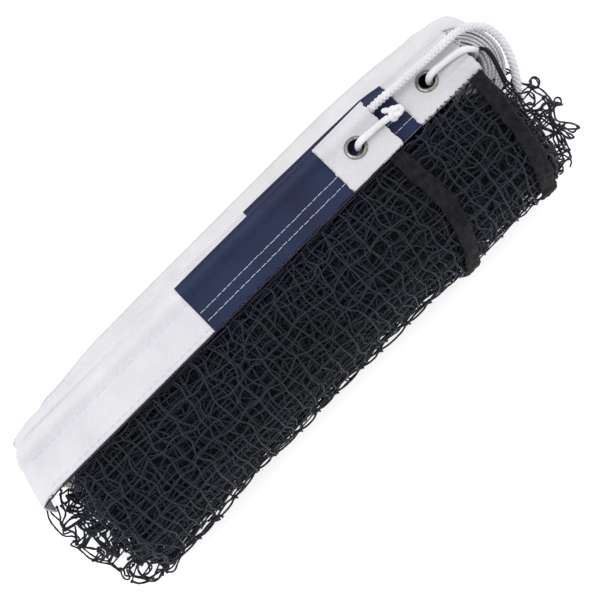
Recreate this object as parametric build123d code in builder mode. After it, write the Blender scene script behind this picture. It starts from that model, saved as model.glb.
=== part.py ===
from build123d import *
import math
import os

# Racket-sport net, folded into a bundle and rolled for storage.
# Millimetres, +Z up.  The bundle lies along X on its flat underside (Z = 0).
# The white head tape is on the +Y side and the netting roll on the -Y side.
# Origin: middle of the box that holds the object without its loose cords, on the base.

# ------------------------------------------------------------ driving dimensions
HALF_LENGTH = 224.0          # netting loops to netting loops, half
ROLL_LEFT, ROLL_RIGHT = -188.0, 190.0   # full section of the netting roll
ROLL_CAP = 8.0               # rounded-off end of the roll
TAPE_WIDTH = 41.0            # folded head tape, edge to edge (strip is twice this)
TAPE_THICK = 1.4             # both leaves of the folded tape
CORD_D = 5.5                 # head cord
CORD_AT = 33.0               # head cord's place across the tape, from its netting edge
BEAD_R = 3.4                 # outside radius of the tape where it holds the cord
LABEL_THICK = 0.45
PATCH_THICK = 0.60
SKIN_GAP = 0.05
LABEL_1 = (-51.0, 79.0)      # along the tape
PATCH_1 = (79.2, 125.0)
LABEL_2 = (17.0, 142.0)
PATCH_2 = (142.2, 198.0)
EYELET_HOLE_R = 5.5
EYELET_BARREL_R = 6.0
EYELET_FLANGE_R = 8.25
EYELET_1_X, EYELET_1_V = 101.0, 20.6
EYELET_2_X, EYELET_2_V = 166.0, 20.0
TIE_D = 4.6                  # smooth soft tie cord
LAPS = 6                     # turns of the head tape that stand on edge
LAP_PITCH = 2.2
LAP_TOP_Z, LAP_BOTTOM_Z = 57.0, 19.6
LAP_OUTER_Y = 58.0           # outside of the outermost lap at its upper edge
LAP_INNER_Y = -2.0           # outside of the same lap on its far side
LAP_LEAN = 15.9              # how far the lower edges stand out towards +Y
LAP_LEFT_X, LAP_RIGHT_X = -170.0, 190.0   # centres of the end turns
TWINE_SELVAGE_D = 1.6
TWINE_LOWER_D = 2.6
BINDING_THICK = 1.1

os.makedirs("parts", exist_ok=True)


class Band:
    """The frame of one run of the head tape: e along it, v across, w out of its upper face."""

    def __init__(self, at, yaw, slope):
        a, s = math.radians(yaw), math.radians(slope)
        self.e = Vector(math.cos(a), math.sin(a), 0)
        across = Vector(-math.sin(a), math.cos(a), 0)
        self.v = across * math.cos(s) + Vector(0, 0, -math.sin(s))
        self.w = across * math.sin(s) + Vector(0, 0, math.cos(s))
        self.o = Vector(*at) - self.e * at[0]

    def pt(self, x, v, w):
        return self.o + self.e * x + self.v * v + self.w * w

    def section(self, x):
        return Plane(origin=self.pt(x, 0, 0), x_dir=self.v, z_dir=self.e)

    def face(self, x, v, w):
        return Plane(origin=self.pt(x, v, w), x_dir=self.e, z_dir=self.w)


BAND_1 = Band((0.0, 20.0, 80.0), 0.0, 16.0)
BAND_2 = Band((142.0, 20.0, 75.5), -1.2, 23.0)


def tape_section():
    """Folded tape round its cord, in the v, w plane of a band."""
    with Locations((TAPE_WIDTH / 2, 0)):
        Rectangle(TAPE_WIDTH, TAPE_THICK)
    with Locations((CORD_AT, 0)):
        Circle(BEAD_R)
        Circle(CORD_D / 2, mode=Mode.SUBTRACT)


def wrap_section(thick):
    """A skin folded over the tape's top edge, on both faces."""
    out = TAPE_THICK / 2 + SKIN_GAP + thick
    gap = TAPE_THICK / 2 + SKIN_GAP
    with Locations(((TAPE_WIDTH + SKIN_GAP + thick) / 2, 0)):
        Rectangle(TAPE_WIDTH + SKIN_GAP + thick, 2 * out)
    with Locations((CORD_AT, 0)):
        Circle(BEAD_R + SKIN_GAP + thick)
    with Locations(((TAPE_WIDTH + SKIN_GAP) / 2 - 1, 0)):
        Rectangle(TAPE_WIDTH + SKIN_GAP + 2, 2 * gap, mode=Mode.SUBTRACT)
    with Locations((CORD_AT, 0)):
        Circle(BEAD_R + SKIN_GAP, mode=Mode.SUBTRACT)


def fold_path(band, start, bend_x, radius, drop, v=0.0):
    """Along the band towards -X, round the left-hand fold and down."""
    c = math.sqrt(0.5)
    return (
        band.pt(start, v, 0),
        band.pt(bend_x, v, 0),
        band.pt(bend_x - radius * c, v, -radius * (1 - c)),
        band.pt(bend_x - radius, v, -radius),
        band.pt(bend_x - radius, v, -radius - drop),
    )


# ------------------------------------------------------------ netting, main roll
ROLL_TOP = [(16.0, 80.4), (0.0, 85.2), (-24.0, 87.6), (-47.0, 81.5), (-63.0, 65.0),
            (-71.0, 42.0), (-68.0, 15.0), (-56.0, 0.0)]
ROLL_FLANK = [(5.0, 0.0), (11.0, 6.0), (11.5, 20.0), (-3.8, 57.0), (-2.2, 58.4),
              (30.0, 58.4), (30.0, 66.0), (16.0, 73.0)]


# The rounded side of the section follows one smooth curve, taken as short straight sides.
ROLL_CURVE = Spline(*ROLL_TOP, tangents=[(-1, 0.22), (1, -0.55)])
ROLL_STEPS = 36
ON_ROLL = [ROLL_CURVE @ (i / ROLL_STEPS) for i in range(ROLL_STEPS + 1)]


def roll_offset(i, away):
    """A point the given distance outside the roll's curve."""
    along = ROLL_CURVE % (i / ROLL_STEPS)
    return ON_ROLL[i] + Vector(along.Y, -along.X).normalized() * away


with BuildSketch() as roll_section:
    with BuildLine():
        Polyline(*ON_ROLL, *ROLL_FLANK, close=True)
    make_face()

with BuildSketch() as binding_section:
    with BuildLine():
        near = [roll_offset(i, SKIN_GAP) for i in range(ROLL_STEPS + 1)]
        far = [roll_offset(i, SKIN_GAP + BINDING_THICK) for i in range(ROLL_STEPS + 1)]
        Polyline(*far, *reversed(near), close=True)
    make_face()


def yz(x):
    return Plane(origin=(x, 0, 0), x_dir=(0, 1, 0), z_dir=(1, 0, 0))


MIDDLE = Vector(-28.0, 58.4)
with BuildSketch() as roll_cap:
    with BuildLine():
        Polyline(*[MIDDLE + (Vector(*q) - MIDDLE) * 0.88 for q in [*ON_ROLL, *ROLL_FLANK]], close=True)
    make_face()

with BuildPart() as netting_roll:
    with BuildSketch(yz(ROLL_LEFT)):
        add(roll_section.sketch)
    extrude(amount=ROLL_RIGHT - ROLL_LEFT)
    for end, step in ((ROLL_LEFT, -ROLL_CAP), (ROLL_RIGHT, ROLL_CAP)):
        with BuildSketch(yz(end)):
            add(roll_section.sketch)
        with BuildSketch(yz(end + step)):
            add(roll_cap.sketch)
        loft(ruled=True)
netting_roll.part.label = "netting_roll"

# ------------------------------------------------------------ netting inside and under the laps
with BuildPart() as netting_inner_folds:
    with BuildSketch(yz(-178.0)):
        with BuildLine():
            Polyline((14.5, 56.4), (42.0, 56.4), (56.6, 19.5), (66.5, 17.5), (70.0, 9.0), (64.0, 0.0),
                     (20.0, 0.0), (14.0, 5.0), (14.0, 16.5), (30.4, 19.5), close=True)
        make_face()
    extrude(amount=360.0)
netting_inner_folds.part.label = "netting_inner_folds"

# ------------------------------------------------------------ loose loops where the netting turns back at each end
with BuildPart() as netting_left_loops:
    with BuildSketch(Plane.XY.offset(12.0)):
        with BuildLine():
            Polyline((-197.5, 4.0), (-209.0, 5.0), (-219.0, -2.0), (-HALF_LENGTH, -16.0), (-221.0, -38.0),
                     (-214.0, -60.0), (-204.0, -69.0), (-197.5, -66.0), close=True)
        make_face()
    extrude(amount=46.0)
    fillet(netting_left_loops.faces().sort_by(Axis.Z)[-1].edges().filter_by(lambda e: e.center().X < -198), 7.0)
    fillet(netting_left_loops.faces().sort_by(Axis.Z)[0].edges().filter_by(lambda e: e.center().X < -198), 7.0)
netting_left_loops.part.label = "netting_left_loops"

with BuildPart() as netting_right_loops:
    with BuildSketch(Plane.XY.offset(14.0)):
        with BuildLine():
            Polyline((199.5, -21.0), (213.0, -24.0), (221.0, -36.0), (HALF_LENGTH, -50.0), (220.0, -61.0),
                     (209.0, -67.0), (199.5, -64.0), close=True)
        make_face()
    extrude(amount=46.0)
    fillet(netting_right_loops.faces().sort_by(Axis.Z)[-1].edges().filter_by(lambda e: e.center().X > 200.5), 6.0)
    fillet(netting_right_loops.faces().sort_by(Axis.Z)[0].edges().filter_by(lambda e: e.center().X > 200.5), 6.0)
netting_right_loops.part.label = "netting_right_loops"

# ------------------------------------------------------------ head tape, the two end runs
with BuildPart() as head_tape_end_1:
    with BuildLine() as path_1:
        p = fold_path(BAND_1, PATCH_1[1], -199.0, 15.0, 22.0)
        Line(p[0], p[1])
        ThreePointArc(p[1], p[2], p[3])
        Line(p[3], p[4])
    with BuildSketch(BAND_1.section(PATCH_1[1])):
        tape_section()
    sweep(path=path_1.wire())
    with BuildSketch(BAND_1.face(EYELET_1_X, EYELET_1_V, 0)):
        Circle(EYELET_BARREL_R + SKIN_GAP)
    extrude(amount=4, both=True, mode=Mode.SUBTRACT)
head_tape_end_1.part.label = "head_tape_end_1"

with BuildPart() as head_tape_end_2:
    with BuildLine() as path_2:
        p = fold_path(BAND_2, PATCH_2[1], -199.0, 7.5, 20.0)
        Line(p[0], p[1])
        ThreePointArc(p[1], p[2], p[3])
        Line(p[3], p[4])
    with BuildSketch(BAND_2.section(PATCH_2[1])):
        tape_section()
    sweep(path=path_2.wire())
    with BuildSketch(BAND_2.face(EYELET_2_X, EYELET_2_V, 0)):
        Circle(EYELET_BARREL_R + SKIN_GAP)
    extrude(amount=4, both=True, mode=Mode.SUBTRACT)
head_tape_end_2.part.label = "head_tape_end_2"

# ------------------------------------------------------------ head tape, the laps that stand on edge
# A flattened spiral of lines and half circles, drawn as its outer and its inner edge.
half = TAPE_THICK / 2
top = [LAP_OUTER_Y - half - LAP_PITCH * k for k in range(LAPS + 1)]
low = [LAP_INNER_Y + half + LAP_PITCH * k for k in range(LAPS)]
lap_length = 0.0
for k in range(LAPS):
    lap_length += 2 * (LAP_RIGHT_X - LAP_LEFT_X) + math.pi * (top[k] - low[k]) / 2 + math.pi * (top[k + 1] - low[k]) / 2


def lap_edge(h):
    """The spiral's edge, h outside its middle line."""
    for k in range(LAPS):
        Line((LAP_LEFT_X, top[k] + h), (LAP_RIGHT_X, top[k] + h))
        r = (top[k] - low[k]) / 2 + h
        ThreePointArc((LAP_RIGHT_X, top[k] + h), (LAP_RIGHT_X + r, (top[k] + low[k]) / 2), (LAP_RIGHT_X, low[k] - h))
        Line((LAP_RIGHT_X, low[k] - h), (LAP_LEFT_X, low[k] - h))
        if k < LAPS - 1:
            r = (top[k + 1] - low[k]) / 2 + h
            ThreePointArc((LAP_LEFT_X, low[k] - h), (LAP_LEFT_X - r, (top[k + 1] + low[k]) / 2),
                          (LAP_LEFT_X, top[k + 1] + h))


with BuildPart() as head_tape_laps:
    with BuildSketch(Plane.XY.offset(LAP_TOP_Z)):
        with BuildLine():
            lap_edge(half)
            lap_edge(-half)
            Line((LAP_LEFT_X, top[0] + half), (LAP_LEFT_X, top[0] - half))
            Line((LAP_LEFT_X, low[-1] - half), (LAP_LEFT_X, low[-1] + half))
        make_face()
    drop = Vector(0, LAP_LEAN, LAP_BOTTOM_Z - LAP_TOP_Z)
    extrude(amount=drop.length, dir=drop.normalized())
head_tape_laps.part.label = "head_tape_laps"

# ------------------------------------------------------------ head cord inside the two end runs
with BuildPart() as head_cord_run_1:
    with BuildLine() as cord_path_1:
        p = fold_path(BAND_1, PATCH_1[1], -199.0, 15.0, 22.0, CORD_AT)
        Line(p[0], p[1])
        ThreePointArc(p[1], p[2], p[3])
        Line(p[3], p[4])
    with BuildSketch(BAND_1.section(PATCH_1[1])):
        with Locations((CORD_AT, 0)):
            Circle(CORD_D / 2 - 0.02)
    sweep(path=cord_path_1.wire())
head_cord_run_1.part.label = "head_cord_run_1"

with BuildPart() as head_cord_run_2:
    with BuildLine() as cord_path_2:
        p = fold_path(BAND_2, PATCH_2[1] - 1.0, -199.0, 7.5, 20.0, CORD_AT)
        Line(p[0], p[1])
        ThreePointArc(p[1], p[2], p[3])
        Line(p[3], p[4])
    with BuildSketch(BAND_2.section(PATCH_2[1] - 1.0)):
        with Locations((CORD_AT, 0)):
            Circle(CORD_D / 2 - 0.02)
    sweep(path=cord_path_2.wire())
head_cord_run_2.part.label = "head_cord_run_2"


# ------------------------------------------------------------ labels and end patches, folded over the tape
with BuildPart() as label_1:
    with BuildSketch(BAND_1.section(LABEL_1[0])):
        wrap_section(LABEL_THICK)
    extrude(amount=LABEL_1[1] - LABEL_1[0])
label_1.part.label = "label_1"

with BuildPart() as label_2:
    with BuildSketch(BAND_2.section(LABEL_2[0])):
        wrap_section(LABEL_THICK)
    extrude(amount=LABEL_2[1] - LABEL_2[0])
label_2.part.label = "label_2"

with BuildPart() as end_patch_1:
    with BuildSketch(BAND_1.section(PATCH_1[0])):
        wrap_section(PATCH_THICK)
    extrude(amount=PATCH_1[1] - PATCH_1[0])
    with BuildSketch(BAND_1.face(EYELET_1_X, EYELET_1_V, 0)):
        Circle(EYELET_BARREL_R + SKIN_GAP)
    extrude(amount=4, both=True, mode=Mode.SUBTRACT)
end_patch_1.part.label = "end_patch_1"

with BuildPart() as end_patch_2:
    with BuildSketch(BAND_2.section(PATCH_2[0])):
        wrap_section(PATCH_THICK)
    extrude(amount=PATCH_2[1] - PATCH_2[0])
    with BuildSketch(BAND_2.face(EYELET_2_X, EYELET_2_V, 0)):
        Circle(EYELET_BARREL_R + SKIN_GAP)
    extrude(amount=4, both=True, mode=Mode.SUBTRACT)
end_patch_2.part.label = "end_patch_2"

# ------------------------------------------------------------ eyelets: barrel with rolled flange, and washer
LEAF = TAPE_THICK / 2 + SKIN_GAP + PATCH_THICK + 0.03     # face of the patch


with BuildSketch() as eyelet_profile:
    with BuildLine():
        r0, r1, r2 = EYELET_HOLE_R, EYELET_BARREL_R, EYELET_FLANGE_R
        Line((r0, -LEAF - 1.05), (r0, LEAF + 0.35))
        ThreePointArc((r0, LEAF + 0.35), (r0 + 0.28, LEAF + 0.93), (r0 + 0.9, LEAF + 1.15))
        ThreePointArc((r0 + 0.9, LEAF + 1.15), (r2 - 0.75, LEAF + 0.88), (r2, LEAF + 0.12))
        Polyline((r2, LEAF + 0.12), (r2, LEAF), (r1, LEAF), (r1, -LEAF - 0.62), (r1 + 0.9, -LEAF - 0.62),
                 (r1 + 0.9, -LEAF - 1.05), (r0, -LEAF - 1.05))
    make_face()

with BuildSketch() as washer_profile:
    with BuildLine():
        Polyline((EYELET_BARREL_R + 0.03, -LEAF - 0.6), (EYELET_FLANGE_R - 0.2, -LEAF - 0.35),
                 (EYELET_FLANGE_R - 0.2, -LEAF), (EYELET_BARREL_R + 0.03, -LEAF), close=True)
    make_face()


def turned(band, x, v):
    """A plane through the eyelet's axis: its x is the radius, its y is the axis."""
    return Plane(origin=band.pt(x, v, 0), x_dir=band.e, z_dir=band.e.cross(band.w))


AXIS_1 = Axis(BAND_1.pt(EYELET_1_X, EYELET_1_V, 0), BAND_1.w)
AXIS_2 = Axis(BAND_2.pt(EYELET_2_X, EYELET_2_V, 0), BAND_2.w)

with BuildPart() as eyelet_1:
    with BuildSketch(turned(BAND_1, EYELET_1_X, EYELET_1_V)):
        add(eyelet_profile.sketch)
    revolve(axis=AXIS_1)
eyelet_1.part.label = "eyelet_1"

with BuildPart() as eyelet_washer_1:
    with BuildSketch(turned(BAND_1, EYELET_1_X, EYELET_1_V)):
        add(washer_profile.sketch)
    revolve(axis=AXIS_1)
eyelet_washer_1.part.label = "eyelet_washer_1"

with BuildPart() as eyelet_2:
    with BuildSketch(turned(BAND_2, EYELET_2_X, EYELET_2_V)):
        add(eyelet_profile.sketch)
    revolve(axis=AXIS_2)
eyelet_2.part.label = "eyelet_2"

with BuildPart() as eyelet_washer_2:
    with BuildSketch(turned(BAND_2, EYELET_2_X, EYELET_2_V)):
        add(washer_profile.sketch)
    revolve(axis=AXIS_2)
eyelet_washer_2.part.label = "eyelet_washer_2"

# ------------------------------------------------------------ side bindings over the roll
BINDING_1 = [(111.0, 14.5), (110.5, -5.0), (112.0, -26.0), (106.0, -50.0), (96.3, -68.7), (93.0, -76.0),
             (106.0, -76.0), (109.5, -68.7), (118.0, -50.0), (123.0, -26.0), (122.5, -5.0), (121.5, 14.5)]
BINDING_2 = [(184.6, 10.5), (181.5, -9.0), (178.8, -28.6), (175.0, -48.0), (171.5, -59.0), (168.0, -76.0),
             (181.0, -76.0), (184.5, -60.0), (187.5, -43.0), (190.5, -19.0), (195.0, 10.5)]


# Each strip is a shell of the roll's section, cut to the strip's outline from above.
with BuildPart() as side_binding_1:
    with BuildSketch(yz(88.0)):
        add(binding_section.sketch)
    extrude(amount=40.0)
    with BuildSketch(Plane.XY.offset(26.0)):
        with BuildLine():
            Polyline(*BINDING_1, close=True)
        make_face()
    extrude(amount=80.0, mode=Mode.INTERSECT)
side_binding_1.part.label = "side_binding_1"

with BuildPart() as side_binding_2:
    with BuildSketch(yz(160.0)):
        add(binding_section.sketch)
    extrude(amount=40.0)
    with BuildSketch(Plane.XY.offset(26.0)):
        with BuildLine():
            Polyline(*BINDING_2, close=True)
        make_face()
    extrude(amount=80.0, mode=Mode.INTERSECT)
side_binding_2.part.label = "side_binding_2"

# ------------------------------------------------------------ edge twines of the netting
with BuildPart() as upper_selvage_twine:
    with BuildSketch(yz(-206.0)):
        with Locations((18.5, 80.9)):
            Circle(TWINE_SELVAGE_D / 2)
    extrude(amount=314.0)
upper_selvage_twine.part.label = "upper_selvage_twine"

with BuildPart() as lower_selvage_twine:
    with BuildSketch(yz(-186.0)):
        with Locations((-72.6, 42.0)):
            Circle(TWINE_LOWER_D / 2)
    extrude(amount=268.0)
lower_selvage_twine.part.label = "lower_selvage_twine"


# ------------------------------------------------------------ stitch threads, groups of separate stitches
LABEL_FACE = TAPE_THICK / 2 + SKIN_GAP + LABEL_THICK
STITCH_ROWS = (8.2, 15.6)     # two rows on each label
STITCH_PITCH, STITCH_LONG = 5.0, 3.2

with BuildPart() as label_1_stitches:
    with BuildSketch(*[BAND_1.face(sum(LABEL_1) / 2, v, LABEL_FACE) for v in STITCH_ROWS]):
        with GridLocations(STITCH_PITCH, 1, 25, 1):
            SlotOverall(STITCH_LONG, 0.7)
    extrude(amount=0.35)
label_1_stitches.part.label = "label_1_stitches"

with BuildPart() as label_2_stitches:
    with BuildSketch(*[BAND_2.face(111.5, v, LABEL_FACE) for v in STITCH_ROWS]):
        with GridLocations(STITCH_PITCH, 1, 12, 1):
            SlotOverall(STITCH_LONG, 0.7)
    extrude(amount=0.35)
label_2_stitches.part.label = "label_2_stitches"

with BuildPart() as tape_seam_stitches:
    with BuildSketch(BAND_1.face(-124.5, 3.5, TAPE_THICK / 2)):
        with GridLocations(6.0, 1, 24, 1):
            SlotOverall(3.8, 0.7)
    extrude(amount=0.35)
tape_seam_stitches.part.label = "tape_seam_stitches"


# ------------------------------------------------------------ cords
def corner_radii(points, share=0.45):
    """The largest arc each corner takes: share of its shorter run over the tangent of half its turn."""
    radii = []
    for a, b, c in zip(points, points[1:], points[2:]):
        before, after = b - a, c - b
        turn = math.radians(before.get_angle(after))
        radii.append(share * min(before.length, after.length) / math.tan(turn / 2))
    return radii


def report(name, points, radii, diameter, solid, length):
    runs = [round((b - a).length, 1) for a, b in zip(points, points[1:])]
    print(name, "runs", runs, "radii", [round(r, 1) for r in radii], "length", round(length, 1),
          "volume over section x length", round(solid.volume / (math.pi * diameter ** 2 / 4 * length), 4))


TAIL = [BAND_1.pt(125.0, CORD_AT, 0), BAND_1.pt(134.5, CORD_AT, 0), Vector(149.0, 50.0, 73.0),
        Vector(165.0, 49.6, 74.2), Vector(180.5, 48.4, 73.2), Vector(194.0, 48.2, 71.9), Vector(206.0, 47.4, 68.6),
        Vector(216.6, 42.6, 64.6), Vector(222.6, 33.6, 62.2), Vector(223.2, 21.6, 60.6), Vector(219.4, 9.4, 58.4),
        Vector(213.6, -1.6, 54.8), Vector(207.8, -10.2, 49.4), Vector(204.6, -15.2, 41.8)]
TAIL_RADII = corner_radii(TAIL)
with BuildPart() as head_cord_tail:
    with BuildLine() as tail_path:
        FilletPolyline(*TAIL, radius=TAIL_RADII)
    with BuildSketch(Plane(origin=TAIL[0], z_dir=TAIL[1] - TAIL[0])):
        Circle(CORD_D / 2)
    sweep(path=tail_path.wire())
head_cord_tail.part.label = "head_cord_tail"
report("head_cord_tail", TAIL, TAIL_RADII, CORD_D, head_cord_tail.part, tail_path.wire().length)

TIE_1 = [BAND_1.pt(102.4, 20.5, -3.2), BAND_1.pt(102.7, 20.5, 3.0), BAND_1.pt(106.9, 20.3, 6.6),
         BAND_1.pt(115.2, 19.8, 6.3), BAND_1.pt(123.4, 19.2, 5.4), BAND_1.pt(130.0, 18.4, 4.1)]
TIE_1_RADII = corner_radii(TIE_1)
with BuildPart() as tie_cord_1:
    with BuildLine() as tie_1_path:
        FilletPolyline(*TIE_1, radius=TIE_1_RADII)
    with BuildSketch(Plane(origin=TIE_1[0], z_dir=TIE_1[1] - TIE_1[0])):
        Circle(TIE_D / 2)
    sweep(path=tie_1_path.wire())
tie_cord_1.part.label = "tie_cord_1"
report("tie_cord_1", TIE_1, TIE_1_RADII, TIE_D, tie_cord_1.part, tie_1_path.wire().length)

KNOT_AXIS = (TIE_1[-1] - TIE_1[-2]).normalized()
with BuildPart(Plane(origin=TIE_1[-1] + KNOT_AXIS * 4.8, z_dir=KNOT_AXIS)) as tie_cord_1_knot:
    Sphere(5.7)
    split(bisect_by=Plane(origin=TIE_1[-1], z_dir=KNOT_AXIS), keep=Keep.TOP)
tie_cord_1_knot.part.label = "tie_cord_1_knot"

TIE_2 = [BAND_2.pt(167.4, 19.9, -3.2), BAND_2.pt(167.7, 19.8, 3.0), BAND_2.pt(171.9, 19.5, 7.0),
         BAND_2.pt(180.2, 18.6, 6.4), BAND_2.pt(188.8, 17.6, 5.5), BAND_2.pt(197.8, 15.8, 5.7),
         Vector(204.0, 31.2, 68.6), Vector(205.2, 29.4, 60.2), Vector(203.6, 28.3, 52.4)]
TIE_2_RADII = corner_radii(TIE_2)
with BuildPart() as tie_cord_2:
    with BuildLine() as tie_2_path:
        FilletPolyline(*TIE_2, radius=TIE_2_RADII)
    with BuildSketch(Plane(origin=TIE_2[0], z_dir=TIE_2[1] - TIE_2[0])):
        Circle(TIE_D / 2)
    sweep(path=tie_2_path.wire())
tie_cord_2.part.label = "tie_cord_2"
report("tie_cord_2", TIE_2, TIE_2_RADII, TIE_D, tie_cord_2.part, tie_2_path.wire().length)

print("head tape in the laps", round(lap_length), "mm, with the end runs",
      round(lap_length + path_1.wire().length + path_2.wire().length), "mm")

# ------------------------------------------------------------ files
PARTS = [netting_roll, netting_inner_folds, netting_left_loops, netting_right_loops, head_tape_end_1, head_tape_end_2,
         head_tape_laps, head_cord_run_1, head_cord_run_2, label_1, label_2, end_patch_1, end_patch_2, eyelet_1,
         eyelet_washer_1, eyelet_2, eyelet_washer_2, side_binding_1, side_binding_2, upper_selvage_twine,
         lower_selvage_twine, label_1_stitches, label_2_stitches, tape_seam_stitches, head_cord_tail, tie_cord_1,
         tie_cord_1_knot, tie_cord_2]
for made in PARTS:
    export_step(made.part, f"parts/{made.part.label}.step")

if __name__ == "__main__":
    fixed = [m.part for m in PARTS if m.part.label not in ("head_cord_tail", "tie_cord_1", "tie_cord_1_knot", "tie_cord_2")]
    low_corner = [min(getattr(p.bounding_box().min, a) for p in fixed) for a in "XYZ"]
    high_corner = [max(getattr(p.bounding_box().max, a) for p in fixed) for a in "XYZ"]
    print("box without the cords", [round(c, 2) for c in low_corner], [round(c, 2) for c in high_corner])
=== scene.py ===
import math

import bmesh
import bpy
import numpy as np
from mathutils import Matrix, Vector


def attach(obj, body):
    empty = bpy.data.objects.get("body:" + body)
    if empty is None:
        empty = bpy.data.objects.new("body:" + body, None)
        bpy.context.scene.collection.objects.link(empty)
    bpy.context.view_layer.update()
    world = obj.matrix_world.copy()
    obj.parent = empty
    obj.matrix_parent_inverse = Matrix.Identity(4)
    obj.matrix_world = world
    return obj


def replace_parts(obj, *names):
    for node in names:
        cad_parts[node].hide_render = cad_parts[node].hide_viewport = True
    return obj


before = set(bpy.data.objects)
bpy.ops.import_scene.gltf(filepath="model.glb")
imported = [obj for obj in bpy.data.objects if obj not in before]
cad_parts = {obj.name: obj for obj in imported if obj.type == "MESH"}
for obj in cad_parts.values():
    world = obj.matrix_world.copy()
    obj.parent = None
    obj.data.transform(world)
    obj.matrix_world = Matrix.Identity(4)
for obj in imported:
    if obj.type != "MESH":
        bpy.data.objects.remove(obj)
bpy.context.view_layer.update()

MM = 0.001
SEED = 20417


# ------------------------------------------------------------ small helpers
def smooth(lo, hi, x):
    t = np.clip((np.asarray(x, float) - lo) / (hi - lo), 0, 1)
    return t * t * (3 - 2 * t)


class Field:
    """A smooth seeded field of two variables, about -1 to 1, with waves between two lengths in mm."""

    def __init__(self, seed, short, long, terms=9):
        r = np.random.default_rng(seed)
        k = 2 * math.pi / np.exp(r.uniform(math.log(short), math.log(long), terms))
        t = r.uniform(0, 2 * math.pi, terms)
        self.kx, self.ky, self.ph = k * np.cos(t), k * np.sin(t), r.uniform(0, 2 * math.pi, terms)
        self.gain = 1.6 / terms

    def __call__(self, x, y):
        x, y = np.broadcast_arrays(np.asarray(x, float), np.asarray(y, float))
        out = np.zeros(x.shape)
        for a, b, c in zip(self.kx, self.ky, self.ph):
            out += np.sin(a * x + b * y + c)
        return out * self.gain


def spline(points, spacing, closed=False):
    """Points along a smooth line through the given ones, about spacing apart, in any number of dimensions."""
    p = np.asarray(points, float)
    if closed:
        p = np.vstack([p[-1], p, p[0], p[1]])
    else:
        p = np.vstack([2 * p[0] - p[1], p, 2 * p[-1] - p[-2]])
    out = []
    for a, b, c, d in zip(p, p[1:], p[2:], p[3:]):
        n = max(2, int(math.ceil(np.linalg.norm(c - b) / spacing)))
        t = (np.arange(n) / n)[:, None]
        out.append(0.5 * (2 * b + (c - a) * t + (2 * a - 5 * b + 4 * c - d) * t ** 2 + (3 * b - a - 3 * c + d) * t ** 3))
    if not closed:
        out.append(p[-2][None])
    return np.vstack(out)


def lattice_lines(ctrl, sub):
    """Smooth lines through control points (K, N, D), sub points a step."""
    p = np.concatenate([2 * ctrl[:, :1] - ctrl[:, 1:2], ctrl, 2 * ctrl[:, -1:] - ctrl[:, -2:-1]], axis=1)
    a, b, c, d = p[:, :-3], p[:, 1:-2], p[:, 2:-1], p[:, 3:]
    t = (np.arange(sub) / sub)[None, None, :, None]
    a, b, c, d = (q[:, :, None, :] for q in (a, b, c, d))
    s = 0.5 * (2 * b + (c - a) * t + (2 * a - 5 * b + 4 * c - d) * t ** 2 + (3 * b - a - 3 * c + d) * t ** 3)
    k, n, m, dim = s.shape
    return np.concatenate([s.reshape(k, n * m, dim), ctrl[:, -1:]], axis=1)


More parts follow.
